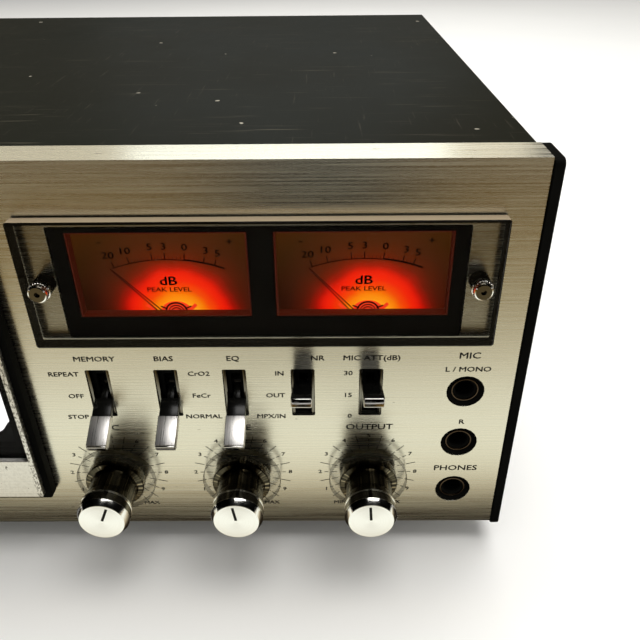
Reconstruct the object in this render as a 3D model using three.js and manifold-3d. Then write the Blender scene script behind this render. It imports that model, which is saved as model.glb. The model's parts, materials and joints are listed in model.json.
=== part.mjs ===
// Front-loading stereo cassette deck, in millimetres: +X right, -Y to the front, +Z up.
// The origin is the centre of the deck's footprint, on the surface that it stands on.
//
// Pieces are placed in a deck frame of their own: x = 0 in the middle of the front panel, y = 0 on
// its face (positive towards the back) and z = 0 at its bottom edge.

import * as THREE from 'three';
import { mergeVertices } from 'three/addons/utils/BufferGeometryUtils.js';
import Module from 'manifold-3d';

const wasm = await Module();
wasm.setup();

// ---- Driving dimensions ----
const PANEL_WIDTH = 433;
const PANEL_HEIGHT = 150;
const PANEL_THICKNESS = 3;
const FLANGE_DEPTH = 14.1; // bright strip along the top of the panel
const END_CAP_THICKNESS = 3.2;
const COVER_INSET = 0.3; // cover's side inside the end of the panel
const BODY_DEPTH = 296; // panel face to the back edge of the cover
const KNOB_REACH = 24.5; // knob faces in front of the panel
const SOCKET_REACH = 9.5; // sockets behind the cover
const FOOT_HEIGHT = 12;
const FOOT_X = 180; // feet either side of the middle
const GAP = 0.3; // between pieces that touch
const SHEET = 1.5; // steel sheet of the case
const ROUND = 20; // facets on a turned piece

const CASSETTE_WIDTH = 100.4;
const CASSETTE_BOTTOM = 39;
const HUB_SPACING = 42.5; // between the two reels of a compact cassette
const HUB_HEIGHT = 73;
const DOOR_X = -13.2;
const DOOR_WIDTH = 113.2;
const WELL_MOUTH = { z: 72.5, width: 107.4, height: 93 }; // hole in the panel behind the door

const METER_PITCH = 64.25;
const METERS_X = 130.62;
const METERS_Z = 110.4;
const METER_OPENING = { width: 56.2, height: 30.3, z: 112 };
const METER_CAN = { width: 62, height: 39.2, front: 4.5, back: 26 };
const DIAL = { width: 58.5, height: 37, y: 6.3 };
const METER_BEZEL = { x: METERS_X - 0.25, z: 109.15, width: 130, height: 39.7 }; // black, round both meters
const WINDOW_SCREW_X = 68.7; // from the middle of the meters

const CONTROL_PITCH = 23.8; // lever to lever; every second lever has a knob under it
const CONTROLS_X = 118.9; // the middle lever
const LEVER_Z = 65.35;
const LEVER_DOWN = 29; // degrees below level
const LEVER_UP = 18; // degrees above level
const LEVER_SLOT = { width: 8.2, height: 20.5 };
const LEVER_REACH = 27.2; // from its pivot to its front end
const PADDLE = { width: 7, thickness: 3.4, length: 18.7 };
const KNOB_Z = 27.2;
const KNOB_HOLE = 4.6; // radii of the round holes in the panel
const JACK_HOLE = 6.7;
const SCREW_HOLE = 2.1;

const KEY_PITCH = 20;
const KEYS_X = -144.2;
const KEY_PIVOT = { y: 46, z: 39 };
const KEY_SLOT = { z: 32, height: 30.4 };

const panelRight = PANEL_WIDTH / 2;
const faceY = -(BODY_DEPTH + SOCKET_REACH - KNOB_REACH) / 2;

// ---- Materials ----
const finish = (color, roughness, metalness) =>
  new THREE.MeshStandardMaterial({ color, roughness, metalness });
const ALUMINIUM = finish(0xcfcab8, 0.38, 0.9);
const CHROME = finish(0xd8d8d8, 0.12, 1);
const BLACK_STEEL = finish(0x2e2c27, 0.5, 0.3);
const ZINC = finish(0xa9aaa6, 0.45, 0.8);
const BLACK_PLASTIC = finish(0x0e0e0f, 0.4, 0);
const RUBBER = finish(0x16161a, 0.9, 0);
const CLEAR = finish(0x9c948a, 0.1, 0);
CLEAR.transparent = true;
CLEAR.opacity = 0.35;
const METER_GLOW = new THREE.MeshStandardMaterial({ color: 0x8a3a10, emissive: 0xd23a08, roughness: 0.6 });
const BOARD = finish(0x3c6b34, 0.6, 0);

// ---- Geometry helpers ----
function signedVolume(geometry) {
  const position = geometry.attributes.position;
  const index = geometry.index;
  const a = new THREE.Vector3();
  const b = new THREE.Vector3();
  const c = new THREE.Vector3();
  let sum = 0;
  for (let i = 0; i < index.count; i += 3) {
    a.fromBufferAttribute(position, index.getX(i));
    b.fromBufferAttribute(position, index.getX(i + 1));
    c.fromBufferAttribute(position, index.getX(i + 2));
    sum += a.dot(b.cross(c));
  }
  return sum / 6;
}

// A closed mesh with shared vertices, no collapsed triangles and its faces pointing out.
function closed(geometry) {
  geometry.deleteAttribute('normal');
  geometry.deleteAttribute('uv');
  const merged = mergeVertices(geometry, 1e-4);
  const kept = [];
  for (let i = 0; i < merged.index.count; i += 3) {
    const [a, b, c] = [0, 1, 2].map((k) => merged.index.getX(i + k));
    if (a !== b && b !== c && c !== a) kept.push(a, b, c);
  }
  merged.setIndex(kept);
  if (signedVolume(merged) < 0) merged.setIndex(kept.reverse());
  return merged;
}

function toSolid(geometry) {
  const mesh = closed(geometry);
  return new wasm.Manifold(new wasm.Mesh({
    numProp: 3,
    vertProperties: new Float32Array(mesh.attributes.position.array),
    triVerts: new Uint32Array(mesh.index.array),
  }));
}

function toGeometry(solid) {
  const mesh = solid.getMesh();
  const geometry = new THREE.BufferGeometry();
  geometry.setAttribute('position', new THREE.BufferAttribute(mesh.vertProperties, 3));
  geometry.setIndex(new THREE.BufferAttribute(mesh.triVerts, 1));
  return geometry;
}

const joined = (pieces) => pieces.map(toSolid).reduce((whole, piece) => whole.add(piece));

// The first list joined, then the second list cut away.
function carve(pieces, cuts = []) {
  const solid = cuts.map(toSolid).reduce((whole, cut) => whole.subtract(cut), joined(pieces));
  return toGeometry(solid);
}

// A box from its lowest and highest coordinate on each axis.
function block([x0, x1], [y0, y1], [z0, z1]) {
  const box = new THREE.BoxGeometry(x1 - x0, y1 - y0, z1 - z0);
  return box.translate((x0 + x1) / 2, (y0 + y1) / 2, (z0 + z1) / 2);
}

// The two ends of a width that is centred on a point.
const span = (middle, width) => [middle - width / 2, middle + width / 2];

// A rectangle with rounded corners, centred on (x, y) of the drawing plane.
function roundedRectangle(x, y, width, height, radius) {
  const [x0, x1] = span(x, width);
  const [y0, y1] = span(y, height);
  const shape = new THREE.Shape();
  shape.moveTo(x0 + radius, y0);
  shape.lineTo(x1 - radius, y0);
  shape.absarc(x1 - radius, y0 + radius, radius, -Math.PI / 2, 0);
  shape.lineTo(x1, y1 - radius);
  shape.absarc(x1 - radius, y1 - radius, radius, 0, Math.PI / 2);
  shape.lineTo(x0 + radius, y1);
  shape.absarc(x0 + radius, y1 - radius, radius, Math.PI / 2, Math.PI);
  shape.lineTo(x0, y0 + radius);
  shape.absarc(x0 + radius, y0 + radius, radius, Math.PI, Math.PI * 1.5);
  return shape;
}

// A drawing of the front (x, z), extruded from y0 back to y1.
function slab(shape, [y0, y1], curveSegments = 1) {
  const solid = new THREE.ExtrudeGeometry(shape, { depth: y1 - y0, bevelEnabled: false, curveSegments });
  return solid.rotateX(Math.PI / 2).translate(0, y1, 0);
}

// A side view drawn as [y, z] points, extruded across x.
function sideProfile(points, [x0, x1]) {
  const shape = new THREE.Shape(points.map(([y, z]) => new THREE.Vector2(y, z)));
  const solid = new THREE.ExtrudeGeometry(shape, { depth: x1 - x0, bevelEnabled: false });
  const basis = new THREE.Matrix4().makeBasis(
    new THREE.Vector3(0, 1, 0), new THREE.Vector3(0, 0, 1), new THREE.Vector3(1, 0, 0));
  return solid.applyMatrix4(basis).translate(x0, 0, 0);
}

// A piece turned about a front-to-back axis, from [radius, y] points that run round its section.
function turned(points, x = 0, z = 0, facets = ROUND) {
  const profile = points.map(([radius, y]) => new THREE.Vector2(radius, y));
  return new THREE.LatheGeometry(profile, facets).translate(x, 0, z);
}

const rod = (radius, [y0, y1], x, z, facets = ROUND) =>
  turned([[0, y0], [radius, y0], [radius, y1], [0, y1]], x, z, facets);

// A rod that lies across the deck.
const crossRod = (radius, [x0, x1], y, z, facets = 16) =>
  rod(radius, [x0, x1], 0, 0, facets).rotateZ(-Math.PI / 2).translate(0, y, z);

// A rod that stands up.
const post = (radius, [z0, z1], x, y, facets = ROUND) =>
  rod(radius, [z0, z1], 0, 0, facets).rotateX(Math.PI / 2).translate(x, y, 0);

const deck = new THREE.Group();
deck.position.set(0, faceY, FOOT_HEIGHT);

function add(name, geometry, material, place = {}) {
  const mesh = new THREE.Mesh(geometry, material);
  mesh.name = name;
  mesh.position.set(place.x ?? 0, place.y ?? 0, place.z ?? 0);
  mesh.rotation.x = THREE.MathUtils.degToRad(place.tilt ?? 0);
  mesh.rotation.y = THREE.MathUtils.degToRad(place.turn ?? 0);
  deck.add(mesh);
}

// ---- Where the controls are ----
const LEVERS = [
  { name: 'memory_lever', tilt: LEVER_DOWN },
  { name: 'bias_lever', tilt: LEVER_DOWN },
  { name: 'eq_lever', tilt: LEVER_DOWN },
  { name: 'noise_reduction_lever', tilt: -LEVER_UP },
  { name: 'mic_attenuator_lever', tilt: -LEVER_UP },
].map((lever, i) => ({ ...lever, x: CONTROLS_X + (i - 2) * CONTROL_PITCH }));

const KNOBS = ['mic', 'line', 'output'].map((name, i) => ({
  name,
  x: CONTROLS_X + (i - 1) * 2 * CONTROL_PITCH,
}));

const JACK_X = panelRight - 16.6;
const JACKS = [
  { name: 'mic_jack_left', z: 65.6 },
  { name: 'mic_jack_right', z: 42 },
  { name: 'phones_jack', z: 17.9 },
];

const KEY_NAMES = ['record_key', 'rewind_key', 'play_key', 'fast_forward_key', 'stop_key', 'pause_key'];
const KEYS = KEY_NAMES.map((name, i) => ({ name, x: KEYS_X + (i - 2.5) * KEY_PITCH }));

const METERS = [-1, 1].map((side) => ({
  name: side < 0 ? 'left' : 'right',
  x: METERS_X + (side * METER_PITCH) / 2,
}));
const WINDOW_SCREWS = METERS.map((meter, i) => ({
  name: meter.name,
  x: METERS_X + (2 * i - 1) * WINDOW_SCREW_X,
}));

const COUNTER = { x: -112, z: 114, drumRadius: 6, width: 17, slotHeight: 9, axleY: 11 };
const RESET = { x: -90, z: 114, radius: 3.2 };
const POWER = { x: -188, z: 114, width: 20, height: 11 };

// ---- Case ----
function makeFrontPanel() {
  const outline = new THREE.Shape();
  outline.moveTo(-panelRight, 0);
  outline.lineTo(panelRight, 0);
  outline.lineTo(panelRight, PANEL_HEIGHT);
  outline.lineTo(-panelRight, PANEL_HEIGHT);
  outline.closePath();
  const through = [-1, PANEL_THICKNESS + 1];
  const opening = (x, z, width, height) =>
    outline.holes.push(roundedRectangle(x, z, width, height, 0.5));
  opening(DOOR_X, WELL_MOUTH.z, WELL_MOUTH.width, WELL_MOUTH.height);
  opening(METER_BEZEL.x, METER_BEZEL.z, METER_BEZEL.width + 2 * GAP, METER_BEZEL.height + 2 * GAP);
  LEVERS.forEach((lever) => opening(lever.x, LEVER_Z, LEVER_SLOT.width, LEVER_SLOT.height));
  opening(KEYS_X, KEY_SLOT.z, 6 * KEY_PITCH + 1, KEY_SLOT.height);
  opening(COUNTER.x, COUNTER.z, COUNTER.width + 2, COUNTER.slotHeight);
  opening(POWER.x, POWER.z, POWER.width + 0.8, POWER.height + 0.8);
  const holes = [
    ...KNOBS.map((knob) => rod(KNOB_HOLE, through, knob.x, KNOB_Z)),
    ...JACKS.map((jack) => rod(JACK_HOLE, through, JACK_X, jack.z)),
    ...WINDOW_SCREWS.map((screw) => rod(SCREW_HOLE, through, screw.x, METERS_Z, 16)),
    rod(RESET.radius + 0.4, through, RESET.x, RESET.z),
  ];
  const plate = slab(outline, [0, PANEL_THICKNESS]);
  const flange = block([-panelRight, panelRight], [1, FLANGE_DEPTH], [PANEL_HEIGHT - 2.5, PANEL_HEIGHT]);
  add('front_panel', carve([plate, flange], holes), ALUMINIUM);
}

function makeEndCaps() {
  for (const side of [-1, 1]) {
    const [depth, height] = [17.7, 151.2];
    const front = -0.8;
    const top = PANEL_HEIGHT - 0.4;
    const profile = roundedRectangle(front + depth / 2, top - height / 2, depth, height, 2.2);
    const points = profile.getPoints(2).map((p) => [p.x, p.y]);
    const inner = panelRight + GAP;
    const x = side < 0 ? [-inner - END_CAP_THICKNESS, -inner] : [inner, inner + END_CAP_THICKNESS];
    add(`end_cap_${side < 0 ? 'left' : 'right'}`, closed(sideProfile(points, x)), BLACK_PLASTIC);
  }
}

function makeTopCover() {
  const half = panelRight - COVER_INSET;
  const top = PANEL_HEIGHT - 0.5;
  const bottom = 1;
  const corner = 1;
  const shape = new THREE.Shape();
  shape.moveTo(-half, bottom);
  shape.lineTo(-half, top - corner);
  shape.absarc(-half + corner, top - corner, corner, Math.PI, Math.PI / 2, true);
  shape.lineTo(half - corner, top);
  shape.absarc(half - corner, top - corner, corner, Math.PI / 2, 0, true);
  shape.lineTo(half, bottom);
  shape.lineTo(half - SHEET, bottom);
  shape.lineTo(half - SHEET, top - SHEET);
  shape.lineTo(-half + SHEET, top - SHEET);
  shape.lineTo(-half + SHEET, bottom);
  add('top_cover', closed(slab(shape, [FLANGE_DEPTH + GAP, BODY_DEPTH], 3)), BLACK_STEEL);
}

const INNER_HALF = panelRight - COVER_INSET - SHEET - GAP;

function makeBaseChassis() {
  const [front, back] = [PANEL_THICKNESS + GAP, BODY_DEPTH - 3];
  const floor = block([-INNER_HALF, INNER_HALF], [front, back], [1, 1 + SHEET]);
  const side = (x) => block(span(x, SHEET), [FLANGE_DEPTH + GAP, back], [1, 34]);
  // An upright at each end of the keys holds the rod that they turn on.
  const reach = 3 * KEY_PITCH + 4;
  const upright = (x) => block(span(x, 2), [KEY_PIVOT.y - 8, KEY_PIVOT.y + 8], [1.5, KEY_PIVOT.z + 6]);
  const pivotRod = crossRod(1.8, span(KEYS_X, 2 * reach), KEY_PIVOT.y, KEY_PIVOT.z);
  add('base_chassis', carve([
    floor,
    side(-INNER_HALF + SHEET / 2),
    side(INNER_HALF - SHEET / 2),
    upright(KEYS_X - reach),
    upright(KEYS_X + reach),
    pivotRod,
  ]), ZINC);
}

const SOCKETS = { x: -120, z: 96, width: 66, height: 40 };
const INLET = { x: 160, z: 42, width: 32, height: 24 };

function makeRearPanel() {
  const shape = new THREE.Shape();
  shape.moveTo(-INNER_HALF, 3);
  shape.lineTo(INNER_HALF, 3);
  shape.lineTo(INNER_HALF, PANEL_HEIGHT - 2.5);
  shape.lineTo(-INNER_HALF, PANEL_HEIGHT - 2.5);
  shape.closePath();
  shape.holes.push(roundedRectangle(SOCKETS.x, SOCKETS.z, SOCKETS.width - 8, SOCKETS.height - 8, 1));
  shape.holes.push(roundedRectangle(INLET.x, INLET.z, INLET.width - 6, INLET.height - 6, 1));
  const back = BODY_DEPTH - 1;
  const plate = slab(shape, [back - SHEET, back]);
  // A folded lip rests on the chassis floor.
  const lip = block([-INNER_HALF + 3, INNER_HALF - 3], [back - 14, back - 0.1], [2.8, 2.8 + SHEET]);
  add('rear_panel', carve([plate, lip]), BLACK_STEEL);
}

function makeFeet() {
  const section = [[0, 0.7], [10, 0.7], [11.5, -2], [13, -9.5], [12, -FOOT_HEIGHT], [0, -FOOT_HEIGHT]];
  for (const [end, y] of [['front', 32], ['rear', BODY_DEPTH - 34]]) {
    for (const [side, x] of [['left', -FOOT_X], ['right', FOOT_X]]) {
      const foot = turned(section).rotateX(Math.PI / 2).translate(x, y, 0);
      add(`foot_${end}_${side}`, closed(foot), RUBBER);
    }
  }
}

// ---- Meters ----
function makeMeterWindow() {
  const [thickness, bevel] = [5, 0.7];
  const [width, height] = [150.5, 44.8];
  const shape = roundedRectangle(METERS_X, METERS_Z, width - 2 * bevel, height - 2 * bevel, 0.3);
  const plate = new THREE.ExtrudeGeometry(shape, {
    depth: thickness - 2 * bevel, // between the bevels
    bevelSize: bevel,
    bevelThickness: bevel,
    bevelSegments: 1,
    curveSegments: 1,
  });
  plate.rotateX(Math.PI / 2).translate(0, -bevel - GAP, 0);
  const bores = WINDOW_SCREWS.map((screw) => rod(3.3, [-thickness - 1, 1], screw.x, METERS_Z, 16));
  add('meter_window', carve([plate], bores), CLEAR);
}

function makeMeterSurround() {
  const shape = roundedRectangle(METER_BEZEL.x, METER_BEZEL.z, METER_BEZEL.width, METER_BEZEL.height, 0.5);
  METERS.forEach((meter) => shape.holes.push(
    roundedRectangle(meter.x, METER_OPENING.z, METER_OPENING.width, METER_OPENING.height, 0.3)));
  add('meter_surround', closed(slab(shape, [0.2, 4.2])), BLACK_PLASTIC);
}

const NEEDLE = { length: 25.9, drop: 19.1, rest: 42 }; // drop: its pivot below the opening's middle

function makeMeter(meter) {
  const { front, back } = METER_CAN;
  const can = block(span(meter.x, METER_CAN.width), [front, back], span(METER_BEZEL.z, METER_CAN.height));
  const recess = block(span(meter.x, DIAL.width), [front - 1, DIAL.y], span(METER_BEZEL.z, DIAL.height));
  add(`meter_${meter.name}`, carve([can], [recess]), METER_GLOW);
  // The needle's hub turns just in front of the dial.
  const hub = rod(1.6, [4.7, 6], 0, 0, 12);
  const pointer = block([-0.25, 0.25], [4.9, 5.3], [1, NEEDLE.length]);
  const tail = block([-0.4, 0.4], [4.9, 5.3], [-2.1, -1]);
  add(`meter_needle_${meter.name}`, carve([hub, pointer, tail]), BLACK_PLASTIC,
    { x: meter.x, z: METER_OPENING.z - NEEDLE.drop, turn: -NEEDLE.rest });
}

function makeWindowScrews() {
  for (const screw of WINDOW_SCREWS) {
    // A knurled head, the shoulder that fills the window's bore, and the threaded shank.
    const section = [
      [0, -8.6], [2.9, -8.6], [3.4, -8.1], [3.4, -5.6], [3, -5.6], [3, -0.35], [1.6, -0.35], [1.6, 7], [0, 7],
    ];
    const slot = block([-3.6, 3.6], [-9, -7.9], [-0.4, 0.4]);
    add(`window_screw_${screw.name}`, carve([turned(section)], [slot]), CHROME, { x: screw.x, z: METERS_Z });
  }
}

// ---- Lever switches ----
const LEVER_PIVOT_Y = 9.5;

// The bracket behind the panel: a black plate under the slots, five switch bodies and three double
// volume controls, whose blind bores take the shafts of the knobs.
function makeControlBank() {
  const front = PANEL_THICKNESS + GAP;
  const plateWidth = 4 * CONTROL_PITCH + 14;
  const plate = slab(roundedRectangle(CONTROLS_X, LEVER_Z, plateWidth, 27, 1), [front, front + 2]);
  const bracket = block(span(CONTROLS_X, 4 * CONTROL_PITCH + 22), [20, 21.5], [17, 79]);
  const atLevers = (width, y, height) =>
    LEVERS.map((lever) => block(span(lever.x, width), y, span(LEVER_Z, height)));
  const bodies = atLevers(12, [front + 1, 20.5], 20);
  const slots = atLevers(3.4, [front - 1, front + 4], 13);
  const pockets = atLevers(6.2, [front + 2, 16], 13);
  const pivots = LEVERS.map((lever) => crossRod(1.4, span(lever.x, 10), LEVER_PIVOT_Y, LEVER_Z, 10));
  const control = [
    [4.4, 8], [9, 8], [9, 26], [0, 26], [0, 16.5], [2.9, 16.5], [2.9, 12.5], [4.4, 12.5], [4.4, 8],
  ];
  const controls = KNOBS.map((knob) => turned(control, knob.x, KNOB_Z));
  const rooms = KNOBS.map((knob) => rod(8.5, [14, 23], knob.x, KNOB_Z));
  const back = toSolid(carve([bracket, plate, ...bodies], [...slots, ...pockets, ...pivots, ...rooms]));
  add('control_bank', toGeometry(back.add(joined(controls))), BLACK_PLASTIC);
}

function makeLever(lever) {
  // Drawn level, pointing to the front from its pivot at the origin.
  const reach = LEVER_REACH;
  const half = PADDLE.thickness / 2;
  const nose = 0.5;
  const root = PADDLE.length - reach;
  const arm = block(span(0, 2.4), [root - 0.5, 1], [-half + 0.2, half - 0.2]);
  const barrel = crossRod(3, [-2.6, 2.6], 0, 0, 12);
  const pin = crossRod(1.1, [-4.6, 4.6], 0, 0, 8);
  const paddle = sideProfile([
    [root, -half], [root, half], [-reach + nose, half], [-reach, half - nose],
    [-reach, -half + nose], [-reach + nose, -half],
  ], span(0, PADDLE.width));
  add(lever.name, carve([arm, barrel, pin, paddle]), ALUMINIUM,
    { x: lever.x, y: LEVER_PIVOT_Y, z: LEVER_Z, tilt: lever.tilt });
}

// ---- Knobs: a rear one with a clear skirt and a front one, on shafts one inside the other ----
function makeKnob(knob) {
  const rear = [
    [2.9, 12], [3.9, 12], [3.9, -2.5], [14.7, -2.5], [14.7, -5], [10.8, -5.2], [10.8, -6.8],
    [8.5, -7], [8.5, -14.5], [9, -17.3], [2.9, -17.3], [2.9, 12],
  ];
  const front = [
    [0, 16], [2.5, 16], [2.5, -17.6], [9, -17.6], [9.35, -18], [9.35, -22.1],
    [8, -KNOB_REACH], [0, -KNOB_REACH],
  ];
  add(`${knob.name}_rear_knob`, closed(turned(rear)), BLACK_PLASTIC, { x: knob.x, z: KNOB_Z });
  add(`${knob.name}_front_knob`, closed(turned(front)), ALUMINIUM, { x: knob.x, z: KNOB_Z });
}

function makeJack(jack) {
  const section = [
    [3.2, 22], [5.5, 22], [5.5, 4], [6.4, 4], [6.4, 0.8], [4.6, 0.8], [4.5, 1.6], [3.2, 1.6], [3.2, 22],
  ];
  add(jack.name, closed(turned(section)), BLACK_PLASTIC, { x: JACK_X, z: jack.z });
}

// ---- Cassette door: it tips forward on pins at its bottom edge ----
const DOOR = { bottom: 18.4, top: 122.4, face: -7, frameFront: -4.6, back: -0.4 };
const WINDOW = { bottom: 39.5, top: 117.5, width: DOOR_WIDTH - 3.4 };

function frameShape(outer, inner, radius = 1) {
  const outline = ({ width, z0, z1 }) => roundedRectangle(DOOR_X, (z0 + z1) / 2, width, z1 - z0, radius);
  const shape = outline(outer);
  shape.holes.push(outline(inner));
  return shape;
}

function makeDoor() {
  const outer = { width: DOOR_WIDTH + 4.2, z0: DOOR.bottom, z1: DOOR.top };
  const rebate = { width: WINDOW.width + 2.6, z0: WINDOW.bottom - 1.3, z1: WINDOW.top + 1.3 };
  const lip = { width: 100, z0: 41, z1: 112 };
  const middle = -2.5;
  add('door_frame', carve([
    slab(frameShape(outer, rebate), [DOOR.frameFront, middle + 0.1]),
    slab(frameShape(outer, lip), [middle, DOOR.back]),
  ]), BLACK_PLASTIC);
  const plate = { width: DOOR_WIDTH, z0: DOOR.bottom + 3, z1: DOOR.top - 1 };
  const view = { width: WINDOW.width, z0: WINDOW.bottom, z1: WINDOW.top };
  add('door_face', closed(slab(frameShape(plate, view, 0.6), [DOOR.face, DOOR.frameFront - GAP])), ALUMINIUM);
  const pane = block(span(DOOR_X, rebate.width - 2 * GAP), [DOOR.frameFront, middle - GAP],
    [rebate.z0 + GAP, rebate.z1 - GAP]);
  add('door_window', closed(pane), CLEAR);
}

function makeCassetteHolder() {
  const inner = CASSETTE_WIDTH / 2 + 0.6;
  const outer = inner + 2;
  const depth = [-0.1, 16];
  const edge = { width: 2 * outer, z0: 30, z1: 108 };
  const view = { width: 2 * inner - 0.6, z0: 43, z1: 103 };
  const sheet = slab(frameShape(edge, view), [-0.1, 1.4]);
  const parts = [sheet];
  for (const side of [-1, 1]) {
    const wall = [DOOR_X + side * inner, DOOR_X + side * outer].sort((a, b) => a - b);
    const ledge = [DOOR_X + side * 38, DOOR_X + side * outer].sort((a, b) => a - b);
    parts.push(block(wall, depth, [CASSETTE_BOTTOM - 2.3, 105]));
    parts.push(block(ledge, depth, [CASSETTE_BOTTOM - 2.3, CASSETTE_BOTTOM - 0.3]));
  }
  add('cassette_holder', carve(parts), BLACK_PLASTIC);
}

// ---- Tape transport ----
const CAPSTAN = { x: DOOR_X + 25, z: 44, radius: 1.25 };
const FLYWHEEL = { radius: 26, y: [40, 50] };
const MOTOR = { x: DOOR_X - 30, z: 44, pulley: 5.2 };
const WELL = { back: 24, left: DOOR_X - 55.5, right: DOOR_X + 55.5, bottom: 21.5, top: 117 };
const HEAD_PLATE = { bottom: 22, top: 32, travel: 6.5, y: [21.5, 23.5] };
const PINCH = { radius: 6.5 };
PINCH.z = CAPSTAN.z - CAPSTAN.radius - 0.2 - PINCH.radius - HEAD_PLATE.travel;

function makeCassetteWell() {
  const wall = 2;
  const front = PANEL_THICKNESS + GAP;
  const plateY = [51, 52.5];
  const wellBox = (y, margin) =>
    block([WELL.left - margin, WELL.right + margin], y, [WELL.bottom - margin, WELL.top + margin]);
  const box = wellBox([front, WELL.back + wall], wall);
  const hollow = wellBox([front - 1, WELL.back], 0);
  // Four legs carry the motor plate behind the well, and its feet stand on the chassis floor.
  const legs = [-50, 50].flatMap((x) => [24, 74].map((z) =>
    block(span(DOOR_X + x, 5), [WELL.back + wall - 0.5, plateY[0] + 0.5], span(z, 5))));
  const motorPlate = block(span(DOOR_X, 105), plateY, [2.8, 77]);
  const shaftHole = (x, z, radius) => rod(radius, [WELL.back - 1, WELL.back + wall + 1], x, z, 16);
  add('cassette_well', carve([box, ...legs, motorPlate], [
    hollow,
    shaftHole(DOOR_X - HUB_SPACING / 2, HUB_HEIGHT, 3.5),
    shaftHole(DOOR_X + HUB_SPACING / 2, HUB_HEIGHT, 3.5),
    shaftHole(CAPSTAN.x, CAPSTAN.z, CAPSTAN.radius + 0.35),
    rod(2.5, [plateY[0] - 1, plateY[1] + 1], MOTOR.x, MOTOR.z, 16),
  ]), BLACK_PLASTIC);
}

function makeSpindle(name, side) {
  const section = [
    [0, 6], [2.4, 6], [4.2, 9], [4.2, 20.6], [9, 20.6], [9, 22.5],
    [3, 22.5], [3, 27], [11, 27], [11, 31], [0, 31],
  ];
  const place = { x: DOOR_X + (side * HUB_SPACING) / 2, z: HUB_HEIGHT };
  add(name, closed(turned(section)), BLACK_PLASTIC, place);
}

function makeCapstan() {
  const [front, back] = FLYWHEEL.y;
  const { radius } = FLYWHEEL;
  const section = [
    [0, 6.5], [CAPSTAN.radius, 6.5], [CAPSTAN.radius, front - 4], [5, front - 4], [5, front], [radius, front],
    [radius, front + 2.6], [radius - 0.8, front + 2.6], [radius - 0.8, back - 2.6], [radius, back - 2.6],
    [radius, back], [2, back], [2, back + 0.6], [0, back + 0.6],
  ];
  add('capstan_flywheel', closed(turned(section, 0, 0, 28)), ZINC, { x: CAPSTAN.x, z: CAPSTAN.z });
}

function makeMotorPulley() {
  const { pulley } = MOTOR;
  const section = [
    [0, 41], [pulley + 0.8, 41], [pulley + 0.8, 42.6], [pulley, 42.6], [pulley, 47.4],
    [pulley + 0.8, 47.4], [pulley + 0.8, 49], [1.2, 49], [1.2, 58], [0, 58],
  ];
  add('motor_pulley', closed(turned(section)), ALUMINIUM, { x: MOTOR.x, z: MOTOR.z });
  const can = [[0, 60], [1.6, 60], [1.6, 52.8], [16, 52.8], [17, 53.8], [17, 84], [16, 85], [0, 85]];
  add('drive_motor', closed(turned(can)), ZINC, { x: MOTOR.x, z: MOTOR.z });
}

// The outline of a belt round two wheels that stand side by side.
function beltOutline(left, right, leftRadius, rightRadius) {
  const distance = right - left;
  const lean = Math.asin((rightRadius - leftRadius) / distance);
  const shape = new THREE.Shape();
  shape.absarc(right, 0, rightRadius, -Math.PI / 2 - lean, Math.PI / 2 + lean);
  shape.absarc(left, 0, leftRadius, Math.PI / 2 + lean, (3 * Math.PI) / 2 - lean);
  shape.closePath();
  return shape;
}

function makeDriveBelt() {
  const thickness = 0.9;
  const [small, large] = [MOTOR.pulley + 0.3, FLYWHEEL.radius - 0.8 + 0.3];
  const shape = beltOutline(MOTOR.x, CAPSTAN.x, small + thickness, large + thickness);
  shape.holes.push(beltOutline(MOTOR.x, CAPSTAN.x, small, large));
  add('drive_belt', closed(slab(shape, [43.2, 46.8], 9)), RUBBER, { z: MOTOR.z });
}

function makeHeadBlock() {
  const [front, back] = HEAD_PLATE.y;
  const plate = block(span(DOOR_X, 68), [front, back], [HEAD_PLATE.bottom, HEAD_PLATE.top]);
  // The record and play head in the middle, the erase head to its left, and the roller's axle.
  const headSection = [[8, 28.5], [20, 28.5], [20, 34], [18, 35], [10, 35], [8, 34]];
  const playHead = sideProfile(headSection, span(DOOR_X, 12));
  const playFoot = block(span(DOOR_X, 9), [8.5, front + 0.5], [25, 30]);
  const eraseHead = block(span(DOOR_X - 20, 7), [9, 18], [26, 34]);
  const eraseFoot = block(span(DOOR_X - 20, 5), [10, front + 0.5], [25, 29]);
  const axle = rod(1.4, [5.5, front + 0.5], CAPSTAN.x, PINCH.z, 16);
  add('head_block', carve([plate, playHead, playFoot, eraseHead, eraseFoot, axle]), CHROME);
}

function makePinchRoller() {
  const section = [[1.65, 7], [PINCH.radius, 7], [PINCH.radius, 15.5], [1.65, 15.5], [1.65, 7]];
  add('pinch_roller', closed(turned(section)), RUBBER, { x: CAPSTAN.x, z: PINCH.z });
}

// ---- Left-hand controls ----
function makeKey(key) {
  const { y, z } = KEY_PIVOT;
  const half = (KEY_PITCH - 1.2) / 2;
  // Drawn about its pivot: a finger plate with a turned-down front, on a narrower arm.
  const cap = sideProfile([
    [4 - y, 24 - z], [4 - y, 46 - z], [-9 - y, 44.2 - z], [-12 - y, 43 - z], [-13.5 - y, 40.5 - z],
    [-13.5 - y, 26 - z], [-12.5 - y, 24.6 - z], [-11 - y, 24 - z],
  ], [-half, half]);
  const arm = block([-3, 3], [3 - y, 0], [-3.4, 3.4]);
  const barrel = crossRod(4.6, [-5, 5], 0, 0);
  const bore = crossRod(2.15, [-6, 6], 0, 0);
  add(key.name, carve([cap, arm, barrel], [bore]), ALUMINIUM, { x: key.x, y, z });
}

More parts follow.
